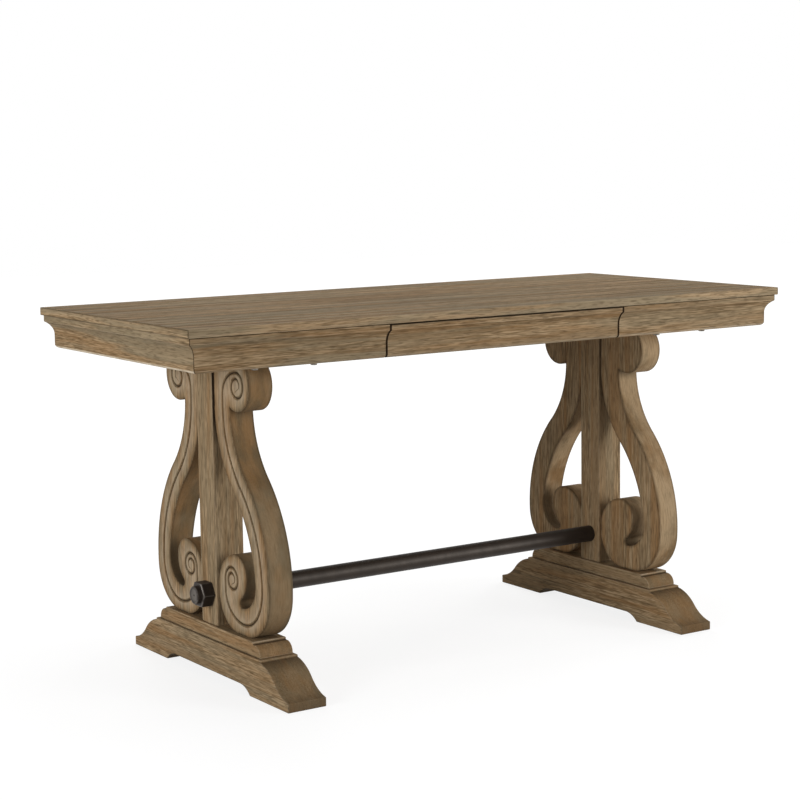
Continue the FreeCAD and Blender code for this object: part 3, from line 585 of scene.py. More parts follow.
def inset(spots, distance):
    """Places of an anticlockwise outline moved into the wood."""
    moved = []
    for before, spot, after in neighbours(spots):
        if spot.corner:
            moved.append(spot.corner.inset(spot.at, distance))
            continue
        first, second = (spot.at - before.at).normalized(), (after.at - spot.at).normalized()
        normal = Vector((-first.y - second.y, first.x + second.x))
        moved.append(spot.at + normal * distance / (1 + first.dot(second)))
    return moved


def leave_glaze_and_shade(spots, amount):
    """Leaves dark glaze and painted shade on the spots, as much as the rule gives for their place."""
    for spot in spots:
        left = amount(spot.at)
        if left:
            spot.stain = left
            spot.wear = 0.0


# Meshes

End = namedtuple("End", "radius rub wear stain")
Carving = namedtuple("Carving", "inward lines")
Crease = namedtuple("Crease", "at depth wear stain")
LAYERS = ("wear", "stain", "cut", "run", "turned")
INSIDE_ONLY = 1


class Shell:
    """Points and faces of one piece.

    Each point holds how far it is rubbed (with painted highlight), stained (with painted shade) and sawn, its
    run along a sawn edge, and 1 where the grain is turned.
    """

    def __init__(self):
        self.points = []
        self.faces = []
        self.layers = {title: [] for title in LAYERS}

    def point(self, place, **amounts):
        self.points.append(place)
        for title, layer in self.layers.items():
            layer.append(amounts.get(title, 0.0))
        return len(self.points) - 1

    def bridge(self, rings, closed=False):
        """Quads from each ring of points to the next, and from the last to the first if closed."""
        following = rings[1:] + rings[:1] if closed else rings[1:]
        for near, far in zip(rings, following):
            for this, that in zip(range(len(near)), [*range(1, len(near)), 0]):
                self.faces.append((near[this], near[that], far[that], far[this]))

    def fill(self, ring, flat, lines=()):
        """Triangles inside a ring of points, creased along lines of (flat places, points)."""
        places = list(flat)
        owners = list(ring)
        creases = []
        for line_places, line_points in lines:
            first = len(places)
            places += line_places
            owners += line_points
            creases += [(first + step, first + step + 1) for step in range(len(line_places) - 1)]
        made = delaunay_2d_cdt(places, creases, [list(range(len(ring)))], INSIDE_ONLY, SAME_CREASE)
        triangles, sources = made[2], made[3]
        for triangle in triangles:
            if any(not sources[corner] for corner in triangle):
                raise RuntimeError("Two lines of a carved face cross")
            self.faces.append(tuple(owners[sources[corner][0]] for corner in triangle))

    def object(self, name, material, board, glaze, figure):
        mesh = bpy.data.meshes.new(name)
        mesh.from_pydata(self.points, [], self.faces)
        size = len(self.points)
        whole = {"board": [board] * size, "glaze": [glaze] * size, "figure": [figure] * size}
        for title, values in (self.layers | whole).items():
            mesh.attributes.new(title, "FLOAT", "POINT").data.foreach_set("value", values)
        return link_object(name, mesh, material)


def link_object(name, mesh, material):
    """An object of a finished mesh, its faces outwards and its gentle bends shaded smooth."""
    solid = bmesh.new()
    solid.from_mesh(mesh)
    bmesh.ops.remove_doubles(solid, verts=solid.verts, dist=SAME_POINT)
    bmesh.ops.recalc_face_normals(solid, faces=solid.faces)
    solid.to_mesh(mesh)
    solid.free()
    mesh.shade_smooth()
    mesh.set_sharp_from_angle(angle=SMOOTH_BEND)
    mesh.materials.clear()
    mesh.materials.append(material)
    made = bpy.data.objects.new(name, mesh)
    bpy.context.scene.collection.objects.link(made)
    return made


def rim(end):
    """Setback, depth and rub of the rings that ease an end, from its face to its side."""
    mid = end.radius * (1 - math.sin(math.pi / 4))
    return [(end.radius + end.rub, 0.0, 0.0), (end.radius, 0.0, 0.5), (mid, mid, 1.0),
            (0.0, end.radius, 0.5), (0.0, end.radius + end.rub, 0.0)]


def prism(shell, spots, place, limits, ends, carving=None, sawn=0.0, turned=0.0, bands=()):
    """An outline drawn out between two limits, each a number or a rule of the place.

    Carving is cut in one end. Sawn tells how far the sides show sawn wood, and turned that the grain of the
    ends runs across. Bands (along, stain and painted shade at a place) are set between the ends.
    """
    runs = [0.0, *accumulate((spot.at - before.at).length for before, spot in zip(spots, spots[1:]))]
    rings = []
    for limit, end, inward in zip(limits, ends, (1, -1)):
        eased = []
        for setback, depth, rubbed in rim(end):
            on_side = 0.0 if setback else 1.0
            end_stain_and_shade = min(1.0, 2 * rubbed) * end.stain
            ring = []
            for spot, run, at in zip(spots, runs, inset(spots, setback)):
                along = (limit(at) if callable(limit) else limit) + inward * depth
                spot_stain_and_shade = spot.stain if on_side else spot.stain * rubbed
                ring.append(shell.point(
                    place(at.x, at.y, along), run=run, cut=sawn * on_side, turned=turned * (1 - on_side),
                    wear=max(spot.wear, rubbed * end.wear), stain=max(spot_stain_and_shade, end_stain_and_shade)))
            eased.append(ring)
        lines = []
        if carving and carving.inward == inward:
            for line in carving.lines:
                points = [shell.point(place(*crease.at, limit + inward * crease.depth),
                                      wear=crease.wear, stain=crease.stain) for crease in line]
                lines.append(([crease.at for crease in line], points))
        shell.fill(eased[0], inset(spots, end.radius + end.rub), lines)
        if inward < 0:
            rings += eased[::-1]
            continue
        rings += eased
        for along, stain in bands:
            rings.append([shell.point(place(*spot.at, along), run=run, cut=sawn, wear=spot.wear,
                                      stain=stain(spot.at)) for spot, run in zip(spots, runs)])
    shell.bridge(rings)


def lathe(shell, profile, steps):
    """A closed profile of (along X, radius, wear) turned about the axis of the stretcher."""
    around = [math.tau * step / steps for step in range(steps)]
    rings = []
    for along, radius, wear in profile:
        places = [Vector((along, radius * math.cos(turn), TUBE_AXIS + radius * math.sin(turn)))
                  for turn in around]
        rings.append([shell.point(place, wear=wear) for place in places])
    shell.bridge(rings, closed=True)


def stand_for(piece, kind, *nodes):
    """The piece takes the place of these nodes on the body that they ride."""
    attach(piece, BODY_OF[nodes[0]])
    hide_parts(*nodes)


def set_piece(shell, kind, node, along, number, glaze=0.0, figure=0.0):
    """The finished shell in place of a node, its grain along an axis; figure adds broad streaks."""
    stand_for(shell.object(f"{kind}_{node}", coat(kind, along), number, glaze, figure), kind, node)


# The place of a point from the two axes of an outline and the axis that it is drawn along
PLACES = {ALONG_X: lambda y, z, x: Vector((x, y, z)),
          ALONG_Y: lambda x, z, y: Vector((x, y, z)),
          ALONG_Z: lambda x, y, z: Vector((x, y, z))}


def board(node, kind, along, number, glaze=0.0, stain=0.0, turned=0.0, figure=0.0, bands=()):
    """A straight board in place of a node; the arrises of its ends can be stained, their grain turned."""
    edges = bpy.context.scene.desk_edges
    radius = edges.oak_round if kind == "oak" else edges.board_round
    low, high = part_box(node)
    flat = [axis for axis in range(3) if axis != along]
    corners = rectangle([low[axis] for axis in flat], [high[axis] for axis in flat])
    rub = min(edges.oak_rub, min(high[axis] - low[axis] for axis in range(3)) / 4)
    if stain:
        end = End(radius, rub=edges.board_round, wear=0.0, stain=stain)
    else:
        end = End(radius, rub, wear=edges.rubbed, stain=0.0)
    shell = Shell()
    prism(shell, soften(corners, radius, rub, edges.rubbed), PLACES[along], (low[along], high[along]),
          (end, end), turned=turned, bands=bands)
    set_piece(shell, kind, node, along, number, glaze, figure)


# Operators, one for each piece or group of like pieces

class DeskOperator:
    """What the operators of the desk share."""
    bl_options = {"REGISTER", "UNDO"}


ARRIS_STAIN = 0.5


class DESK_OT_top(DeskOperator, bpy.types.Operator):
    """Builds the top with its eased edges"""
    bl_idname = "desk.top"
    bl_label = "Top"

    def execute(self, context):
        board("top_panel", "oak", ALONG_X, FIRST_BOARD["top"], GLAZE["top"], stain=ARRIS_STAIN, turned=1.0,
              figure=1.0)
        return {"FINISHED"}


# Parts of the moulding's lower lip, in radii of the lip: where its flat starts, how high and how deep its
# rubbed wear and painted highlight reach, and its facets
LIP_FLAT_START = 1.3
LIP_WEAR_AND_HIGHLIGHT_HEIGHT = 0.6
LIP_WEAR_AND_HIGHLIGHT_DEPTH = 1.5
LIP_FACETS = 6


def crown(moulding, top):
    """Corners of the moulding as (in from the edge of the top, up)."""
    fascia = moulding.fascia_setback
    face = fascia + moulding.cove_depth
    bottom = POST_HIGH.z
    cove_radius = (moulding.cove_depth ** 2 + moulding.cove_height ** 2) / (2 * moulding.cove_depth)
    cove_top = TOP_LOW.z - moulding.fascia_height
    return [(fascia, top),
            (fascia, cove_top, cove_radius, -1),
            (face, cove_top - moulding.cove_height),
            (face, bottom + moulding.lip_radius * LIP_FLAT_START),
            (face, bottom + moulding.lip_radius, moulding.lip_radius, 1),
            (face + moulding.lip_radius, bottom),
            (face + moulding.thickness, bottom),
            (face + moulding.thickness, top)]


def crown_spots(context, top, lip_wear, joint_stain):
    """The softened profile, rubbed pale with a painted highlight along its lower lip, and dark where it meets
    the top, as joint glaze with painted shade under the top's edge.
    """
    edges, moulding = context.scene.desk_edges, context.scene.desk_moulding
    outline = trace(crown(moulding, top), moulding.lip_radius / LIP_FACETS)
    spots = soften(outline, edges.joint_round, edges.board_round, edges.rubbed)
    face = moulding.fascia_setback + moulding.cove_depth
    # Pale wear with a painted highlight on the upper part of the lower lip
    lip_top = POST_HIGH.z + moulding.lip_radius * LIP_WEAR_AND_HIGHLIGHT_HEIGHT
    lip_back = face + moulding.lip_radius * LIP_WEAR_AND_HIGHLIGHT_DEPTH
    for spot in spots:
        if spot.at.y < lip_top and spot.at.x < lip_back:
            spot.wear = lip_wear
    # Dark joint glaze with painted shade along the arris under the top's edge
    reach = edges.joint_round + edges.joint_open
    arris = moulding.fascia_setback + reach
    leave_glaze_and_shade(spots, lambda at: joint_stain if at.y > top - reach and at.x < arris else 0.0)
    return spots


def drawer_gap_shade_end(edges):
    """The end of a moulding beside the drawer, or of the drawer front, its eased edge darkened as painted
    shade in the gap round the drawer.
    """
    return End(edges.joint_round, edges.joint_open, wear=0.0, stain=1.0)


def mitres(half):
    """Limits of a moulding cut at 45 degrees at both corners of the top."""
    return (lambda at: at.x - half), (lambda at: half - at.x)


Moulding = namedtuple("Moulding", "node along side limits ends lip_wear joint_stain glaze")


class DESK_OT_mouldings(DeskOperator, bpy.types.Operator):
    """Builds the crown mouldings, mitred at the corners of the top"""
    bl_idname = "desk.mouldings"
    bl_label = "Mouldings"

    def execute(self, context):
        edges = context.scene.desk_edges
        mitre = End(edges.joint_open, edges.joint_open * 2, wear=0.0, stain=1.0)
        # The ends beside the drawer are darkened as painted shade in the gap round it
        square = drawer_gap_shade_end(edges)
        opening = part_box("front_moulding_right")[0].x
        wide, deep = mitres(TOP_HIGH.x), mitres(TOP_HIGH.y)
        both = (mitre, mitre)
        left, right = (wide[0], -opening), (opening, wide[1])
        # Each row gives the rubbed wear and painted highlight of the lower lip, the joint glaze and painted
        # shade under the top, and the glaze
        rows = [Moulding("front_moulding_left", ALONG_X, -1, left, (mitre, square), 0.1, 1.0, 0.8),
                Moulding("front_moulding_right", ALONG_X, -1, right, (square, mitre), 0.35, 1.0, 0.3),
                Moulding("back_moulding", ALONG_X, 1, wide, both, 0.5, 1.0, 0.5),
                Moulding("end_moulding_left", ALONG_Y, -1, deep, both, 1.0, 0.0, 0.8),
                Moulding("end_moulding_right", ALONG_Y, 1, deep, both, 1.0, 0.0, 0.7)]
        for place, row in enumerate(rows):
            self.moulding(context, row, FIRST_BOARD["mouldings"] + place)
        return {"FINISHED"}

    def moulding(self, context, row, number):
        """One length of the moulding in place of its node."""
        edge = TOP_HIGH.y if row.along == ALONG_X else TOP_HIGH.x
        spots = crown_spots(context, TOP_LOW.z, row.lip_wear, row.joint_stain)

        def place(setback, up, way):
            return PLACES[row.along](row.side * (edge - setback), up, way)

        shell = Shell()
        prism(shell, spots, place, row.limits, row.ends)
        set_piece(shell, "oak", row.node, row.along, number, row.glaze)


# Rubbed wear and painted highlight on the drawer front's lower lip
DRAWER_LIP_WEAR_AND_HIGHLIGHT = 0.2


class DESK_OT_drawer_front(DeskOperator, bpy.types.Operator):
    """Builds the drawer front from a length of the moulding"""
    bl_idname = "desk.drawer_front"
    bl_label = "Drawer front"

    def execute(self, context):
        low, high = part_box("drawer_front")
        end = drawer_gap_shade_end(context.scene.desk_edges)
        # The drawer front's top edge is darkened as painted shade in the gap under the top
        spots = crown_spots(context, high.z, DRAWER_LIP_WEAR_AND_HIGHLIGHT, joint_stain=1.0)
        shell = Shell()
        prism(shell, spots, lambda setback, up, x: Vector((x, setback - TOP_HIGH.y, up)),
              (low.x, high.x), (end, end))
        set_piece(shell, "oak", "drawer_front", ALONG_X, FIRST_BOARD["drawer_front"], GLAZE["drawer_front"])
        return {"FINISHED"}


# Dark colour on the feet and plinths: painted shade in the foot's hollow, under its ledge and on the plinth's
# quirk, dark glaze along the plinth's joint, and a darker tone over the foot's curved ends; how pale the
# plinth's edges are rubbed, and how sawn the curves look
HOLLOW_SHADE = 0.7
CURVE_DARKENING = 0.18
LEDGE_SHADE, LEDGE_SHADE_FADE = 0.45, 1.3
TOE_DARKENING_START, TOE_DARKENING_RISE = 0.75, 0.9
PLINTH_GLAZE_AND_SHADE = 0.75
PLINTH_RUBBED = 0.45
PLINTH_FACETS = 6
PEDESTAL_SAWN = 0.8


def set_pair(context, name, spots, number, glaze):
    """A left and a right piece of one outline, drawn out across the pedestal."""
    edges = context.scene.desk_edges
    end = End(edges.oak_round, edges.step_rub, wear=edges.rubbed, stain=0.0)
    for place, (hand, _) in enumerate(SIDES):
        low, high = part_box(f"{hand}_{name}")
        shell = Shell()
        prism(shell, spots, PLACES[ALONG_X], (low.x, high.x), (end, end), sawn=PEDESTAL_SAWN)
        set_piece(shell, "oak", f"{hand}_{name}", ALONG_Y, number + place, glaze)


class DESK_OT_feet(DeskOperator, bpy.types.Operator):
    """Builds the two long feet with their curved ends and hollowed undersides"""
    bl_idname = "desk.feet"
    bl_label = "Feet"

    def execute(self, context):
        edges, sizes = context.scene.desk_edges, context.scene.desk_pedestal
        toe, top = FOOT_HIGH.y, FOOT_HIGH.z
        ledge = top - sizes.ledge_step
        middle = ((toe + sizes.ledge_reach) / 2, (sizes.toe_height + ledge) / 2)
        arch = (sizes.relief_run ** 2 + sizes.relief_height ** 2) / (2 * sizes.relief_height)
        hollow = sizes.relief_reach - sizes.relief_run
        corners = [(-toe, 0.0), (-toe, sizes.toe_height, sizes.ogee_radius, 1),
                   (-middle[0], middle[1], sizes.ogee_radius, -1), (-sizes.ledge_reach, ledge),
                   (-sizes.ledge_reach, top), (sizes.ledge_reach, top),
                   (sizes.ledge_reach, ledge, sizes.ogee_radius, -1), (*middle, sizes.ogee_radius, 1),
                   (toe, sizes.toe_height), (toe, 0.0),
                   (sizes.relief_reach, 0.0, arch, 1), (hollow, sizes.relief_height),
                   (-hollow, sizes.relief_height, arch, 1), (-sizes.relief_reach, 0.0)]
        spots = soften(trace(corners, edges.curve_step), edges.oak_round, edges.oak_rub, edges.rubbed)

        def glaze_and_shade_left(at):
            """Painted shade in the hollow under the foot and under the ledge, and a darker tone over the rest
            of the curved ends, rising again above the toe.
            """
            if abs(at.x) < sizes.relief_reach and TINY < at.y < sizes.relief_height + TINY:
                return HOLLOW_SHADE
            out = (abs(at.x) - sizes.ledge_reach) / (toe - sizes.ledge_reach)
            if out <= 0:
                return 0.0
            under_ledge = LEDGE_SHADE - out * LEDGE_SHADE_FADE
            above_toe = (out - TOE_DARKENING_START) * TOE_DARKENING_RISE
            return CURVE_DARKENING + max(0.0, under_ledge, above_toe)

        leave_glaze_and_shade(spots, glaze_and_shade_left)
        set_pair(context, "foot", spots, FIRST_BOARD["feet"], GLAZE["feet"])
        return {"FINISHED"}


class DESK_OT_plinths(DeskOperator, bpy.types.Operator):
    """Builds the two plinths with their rounded ends"""
    bl_idname = "desk.plinths"
    bl_label = "Plinths"

    def execute(self, context):
        edges, sizes = context.scene.desk_edges, context.scene.desk_pedestal
        end, low, top = PLINTH_HIGH.y, PLINTH_LOW.z, PLINTH_HIGH.z
        turn = sizes.plinth_round
        round_top = top - sizes.plinth_fillet
        fillet = end - turn - sizes.plinth_quirk
        corners = [(-end, low), (-end, round_top - turn, turn, -1), (turn - end, round_top),
                   (-fillet, round_top), (-fillet, top), (fillet, top), (fillet, round_top),
                   (end - turn, round_top, turn, -1), (end, round_top - turn), (end, low)]
        spots = soften(trace(corners, turn / PLINTH_FACETS), edges.oak_round, edges.oak_rub, PLINTH_RUBBED)

        def glaze_and_shade_left(at):
            """Dark glaze along the joint with the foot, and painted shade on the flat between the quarter
            round and the step.
            """
            on_quirk = abs(at.y - round_top) < sizes.plinth_quirk / 4 and abs(at.x) < end - turn + TINY
            return PLINTH_GLAZE_AND_SHADE if on_quirk or at.y < low + edges.joint_open else 0.0

        leave_glaze_and_shade(spots, glaze_and_shade_left)
        set_pair(context, "plinth", spots, FIRST_BOARD["plinths"], GLAZE["plinths"])
        return {"FINISHED"}


# Painted shade, with some dark glaze in the corner, on the posts' faces beside the scrolls, where the scrolls
# and the top
# shade them, stronger on the left post: how much, how far below the scrolls' crotch it starts and is full,
# and how far below the top of the post it ends
POST_SHADE_AND_GLAZE = {"left": 1.0, "right": 0.6}
POST_SHADE_START, POST_SHADE_FULL = 0.085, 0.025
POST_SHADE_END = 0.02


class DESK_OT_posts(DeskOperator, bpy.types.Operator):
    """Builds the two square posts"""
    bl_idname = "desk.posts"
    bl_label = "Posts"

    def execute(self, context):
        crotch = POST_HIGH.z - context.scene.desk_scroll.crotch_drop
        for place, (hand, glaze) in enumerate(POST_SHADE_AND_GLAZE.items()):
            def beside_scroll(at):
                return glaze if abs(at.y) > POST_HIGH.y - TINY else 0.0

            # Painted shade on the faces beside the scrolls, from below the crotch to near the top
            bands = [(crotch - POST_SHADE_START, lambda at: 0.0),
                     (crotch - POST_SHADE_FULL, beside_scroll),
                     (POST_HIGH.z - POST_SHADE_END, beside_scroll)]
            board(f"{hand}_post", "oak", ALONG_Z, FIRST_BOARD["posts"] + place, GLAZE["posts"], bands=bands)
        return {"FINISHED"}


# Facets of the scrolls' curves: of a full turn, of a quarter and of the slot's round end
SPIRAL_FACETS = 56
QUARTER_FACETS = 18
SLOT_END_FACETS = 5

# The carved groove: how wide its first turn stays, its steps, how it opens from a fine tip, its finish
VOLUTE_HOLD = 1.4
GROOVE_STEP = 0.0028
GROOVE_TIP = 0.15
GROOVE_TAPER = 16
GROOVE_EDGE_STAIN = 0.25
GROOVE_LIP_WEAR = 0.3

# Dark glaze and painted shade on the scrolls, above 1 where it covers the eased edges too: glaze with painted
# shade where they meet the post and the plinth, painted shade under the volute and in the slot
JOINT_GLAZE_AND_SHADE = 1.2
NOTCH_SHADE = 0.75
SLOT_SHADE = 0.9
SCROLL_ARRIS_STAIN = 0.42


def s_curve(start, widest, bend_share, toe, step):
    """An S from an upright start out to its widest place and round onto a level floor at the toe."""
    across, down = widest.x - start.x, start.y - widest.y
    span = (across ** 2 + down ** 2) / (2 * across)
    upper, lower = bend_share * span, (1 - bend_share) * span
    bend = Vector((start.x + bend_share * across, start.y - bend_share * down))
    run, drop = toe.x - widest.x + lower, toe.y - widest.y
    toe_radius = (lower ** 2 - run ** 2 - drop ** 2) / (2 * (lower + drop))
    toe_share = lower / (lower - toe_radius)
    turn = Vector((widest.x - lower + run * toe_share, widest.y + (drop + toe_radius) * toe_share))
    return (arc(start, bend, upper, 1, step) + arc(bend, turn, lower, -1, step)
            + arc(turn, toe, toe_radius, -1, step))


def even(points, step):
    """The same path with its points a steady step apart."""
    spaced = [points[0]]
    for point in points[1:]:
        while (point - spaced[-1]).length > step:
            spaced.append(spaced[-1] + (point - spaced[-1]).normalized() * step)
    return spaced


class ScrollLines:
    """The outline of a scroll as (out from the post's axis, up), and the groove carved in its face."""

    def __init__(self, sizes, step):
        self.sizes = sizes
        self.step = step
        self.post = POST_HIGH.y
        self.floor = PLINTH_HIGH.z
        self.top = POST_HIGH.z
        self.stem = self.post + sizes.stem_width
        self.volute = Vector((self.stem + sizes.volute_offset, self.top - sizes.volute_radius))
        self.belly = Vector((SCROLL_HIGH.y, self.floor + sizes.belly_height))
        notch_drop = math.sqrt(sizes.volute_radius ** 2 - sizes.volute_offset ** 2)
        self.notch = Vector((self.stem, self.volute.y - notch_drop))
        self.lobe_width = self.belly.x - sizes.band_width - sizes.slot_width - self.post
        self.brow = sizes.lobe_brow_share * self.lobe_width
        self.shoulder = self.lobe_width - self.brow
        self.heel = sizes.lobe_height - self.shoulder - sizes.lobe_flat

    def band_edge(self):
        """Outer edge from under the volute, round the belly and the heel, up to the lobe."""
        toe = Vector((self.sizes.heel_reach, self.floor))
        heel_start = Vector((self.post + self.heel, self.floor))
        heel_end = Vector((self.post, self.floor + self.heel))
        edge = s_curve(self.notch, self.belly, self.sizes.outer_bend_share, toe, self.step)
        return edge + [toe] + arc(heel_start, heel_end, self.heel, -1, self.step) + [heel_end]

    def lobe_edge(self):
        """Outer edge of the lobe, from the post over its top, and the floor of the slot where it ends."""
        sizes = self.sizes
        lobe_top = self.floor + sizes.lobe_height
        cheek = Vector((self.post + self.lobe_width, lobe_top - self.brow))
        slot = Vector((cheek.x - sizes.slot_hook, self.floor + sizes.slot_floor_height))
        end = sizes.slot_end_radius
        drop = cheek.y - slot.y - end
        cheek_radius = (sizes.slot_hook ** 2 + drop ** 2 - end ** 2) / (2 * (sizes.slot_hook + end))
        part = cheek_radius / (cheek_radius + end)
        foot = Vector((cheek.x - cheek_radius + part * (cheek_radius - sizes.slot_hook),
                       cheek.y - part * drop))
        summit = Vector((self.post + self.shoulder, lobe_top))
        start = Vector((self.post, lobe_top - self.shoulder))
        edge = arc(start, summit, self.shoulder, -1, self.step)
        edge += arc(summit, cheek, self.brow, -1, self.step)
        edge += arc(cheek, foot, cheek_radius, -1, self.step)
        edge += arc(foot, slot, end, 1, end / SLOT_END_FACETS)
        return edge, slot

    def outline(self):
        """Every point of the scroll's edge, anticlockwise."""
        sizes = self.sizes
        head_side = self.volute + Vector((sizes.volute_radius, 0.0))
        head_top = self.volute + Vector((0.0, sizes.volute_radius))
        lobe, slot = self.lobe_edge()
        hollow = Vector((self.belly.x - sizes.band_width, self.floor + sizes.hollow_height))
        crotch = Vector((self.post, self.top - sizes.crotch_drop))
        inner = s_curve(crotch, hollow, sizes.inner_bend_share, slot, self.step)
        points = [Vector((self.post, self.top))]
        points += arc(head_top, head_side, sizes.volute_radius, -1, self.step)
        points += arc(head_side, self.notch, sizes.volute_radius, -1, self.step)
        points += self.band_edge() + lobe + [slot] + inner[:0:-1] + [crotch]
        return anticlockwise(points)

    def glaze_and_shade_left(self, at):
        """Dark glaze with painted shade where the scroll meets the post and the plinth, painted shade under
        the volute, and painted shade down in the slot, deepest near its floor.
        """
        if at.x < self.post + TINY or at.y < self.floor + TINY:
            return JOINT_GLAZE_AND_SHADE
        below_volute = 1 - (at - self.notch).length / self.sizes.volute_offset
        if below_volute > 0:
            return NOTCH_SHADE * below_volute
        in_slot = self.post + self.lobe_width / 2 < at.x < self.belly.x - self.sizes.band_width + TINY
        above_cup = at.y > self.floor + self.sizes.cup_height
        depth = 1 - (at.y - self.floor) / self.sizes.lobe_height
        return SLOT_SHADE * depth if in_slot and above_cup and depth > 0 else 0.0

    def spiral(self, centre, radius, start, turns_made, hold):
        """A spiral wound clockwise from an angle in to its eye; above 1, hold keeps its first turn wide."""
        facets = math.ceil(turns_made * SPIRAL_FACETS)
        points = []
        for place in range(facets + 1):
            done = place / facets
            reach = radius + (self.sizes.eye_radius - radius) * done ** hold
            angle = start - math.tau * turns_made * done
            points.append(centre + Vector((math.cos(angle), math.sin(angle))) * reach)
        return points

    @staticmethod
    def quarter(centre, reach, first):
        """A quarter of an ellipse, clockwise from a direction counted in quarter turns."""
        angles = [math.pi / 2 * (first - place / QUARTER_FACETS) for place in range(QUARTER_FACETS)]
        return [centre + Vector((reach.x * math.cos(angle), reach.y * math.sin(angle))) for angle in angles]

    def groove(self):
        """The middle of the groove, from the eye of the volute down the band to the eye of the lobe."""
        sizes = self.sizes
        inset_by = sizes.groove_inset
        edge = self.band_edge()
        band = []
        for before, here, after in zip(edge, edge[1:], edge[2:]):
            way = (after - before).normalized()
            if here.y > self.belly.y:
                band.append(here + Vector((way.y, -way.x)) * inset_by)
        volute_eye = self.volute + Vector((sizes.volute_eye_drop, -sizes.volute_eye_drop))
        hook_top = volute_eye.y + sizes.volute_ring
        hook_foot = Vector((volute_eye.x, (self.notch.y + hook_top) / 2 - inset_by / 2))
        hook = self.quarter(hook_foot, Vector((hook_foot.x - band[0].x, hook_top - hook_foot.y)), 2)
        left, right = self.post + inset_by, self.belly.x - inset_by
        middle, bottom = (left + right) / 2, self.floor + sizes.cup_height
        heel = self.floor + sizes.cup_heel_height
        cup = self.quarter(Vector((middle, self.belly.y)), Vector((right - middle, self.belly.y - bottom)), 0)
        cup += self.quarter(Vector((middle, heel)), Vector((middle - left, heel - bottom)), -1)
        lobe_eye = Vector((left + inset_by, self.floor + sizes.lobe_eye_height))
        upper = self.spiral(volute_eye, sizes.volute_ring, math.pi / 2, sizes.volute_turns, VOLUTE_HOLD)
        lower = self.spiral(lobe_eye, inset_by, math.pi, sizes.lobe_turns, hold=1.0)
        return upper[::-1] + hook[::-1] + band + cup + lower

    def carving(self):
        """Lines of creases along the groove: its floor, its two edges and the rubbed lips outside them."""
        middle = even(self.groove(), GROOVE_STEP)
        last = len(middle) - 1
        half, lip = self.sizes.groove_width / 2, self.sizes.lip_width
        rows = ((-half - lip, 0.0, GROOVE_LIP_WEAR, 0.0), (-half, 0.0, 0.0, GROOVE_EDGE_STAIN),
                (0.0, self.sizes.groove_depth, 0.0, 1.0),
                (half, 0.0, 0.0, GROOVE_EDGE_STAIN), (half + lip, 0.0, GROOVE_LIP_WEAR, 0.0))
        lines = [[] for _ in rows]
        for place, here in enumerate(middle):
            way = (middle[min(place + 1, last)] - middle[max(place - 1, 0)]).normalized()
            sideways = Vector((-way.y, way.x))
            open_by = min(1.0, GROOVE_TIP + min(place, last - place) / GROOVE_TAPER)
            for line, (reach, depth, wear, stain) in zip(lines, rows):
                line.append(Crease(here + sideways * (reach * open_by), depth * open_by, wear, stain))
        return lines


class DESK_OT_scrolls(DeskOperator, bpy.types.Operator):
    """Builds the four lyre scrolls, each with a spiral groove carved in its outward face"""
    bl_idname = "desk.scrolls"
    bl_label = "Scrolls"

    def execute(self, context):
        edges = context.scene.desk_edges
        lines = ScrollLines(context.scene.desk_scroll, edges.curve_step)
        spots = soften(lines.outline(), edges.oak_round, edges.oak_rub, edges.rubbed)
        leave_glaze_and_shade(spots, lines.glaze_and_shade_left)
        carved = lines.carving()
        arris = End(edges.oak_round, edges.oak_rub, wear=0.0, stain=SCROLL_ARRIS_STAIN)
        for place, ((hand, side), (end, way)) in enumerate(product(SIDES, ENDS)):
            node = f"{hand}_{end}_scroll"
            low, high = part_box(node)
            shell = Shell()
            prism(shell, spots, lambda out, up, x: Vector((x, way * out, up)), (low.x, high.x),
                  (arris, arris), Carving(-side, carved), sawn=1.0)
            set_piece(shell, "oak", node, ALONG_Z, FIRST_BOARD["scrolls"] + place, GLAZE[f"{hand}_scrolls"])
        return {"FINISHED"}


# Turned edges of the metal as (back from the end, in from the side, wear), both in radii of the edges
TUBE_EDGE = ((0.0, 1.0, 0.3), (1.0, 0.0, 0.6), (4.0, 0.0, 0.0))
BOSS_EDGE = ((3.0, 0.0, 0.0), (1.0, 0.4, 0.8), (0.0, 2.2, 0.8))
NUT_CHAMFER = 2.2
DISH_SHARE = 0.66
DISH_EDGE_WEAR, DISH_WALL_WEAR, DISH_FLOOR_WEAR = 0.1, 0.6, 0.8
INNERMOST = 0.002        # the smallest ring of a turned face


class DESK_OT_stretcher(DeskOperator, bpy.types.Operator):
    """Builds the metal tube between the posts"""
    bl_idname = "desk.stretcher"
    bl_label = "Stretcher"

    def execute(self, context):
        metal, ease = context.scene.desk_metal, context.scene.desk_edges.metal_round
        edge = [(0.0, TUBE_RADIUS - metal.tube_wall, 0.0)]
        edge += [(back * ease, TUBE_RADIUS - below * ease, wear) for back, below, wear in TUBE_EDGE]
        profile = [(TUBE_LOW.x + back, radius, wear) for back, radius, wear in edge]
        profile += [(TUBE_HIGH.x - back, radius, wear) for back, radius, wear in reversed(edge)]
        shell = Shell()
        lathe(shell, profile, metal.round_steps)
        set_piece(shell, "iron", "stretcher_tube", ALONG_X, FIRST_BOARD["stretcher"])
        return {"FINISHED"}


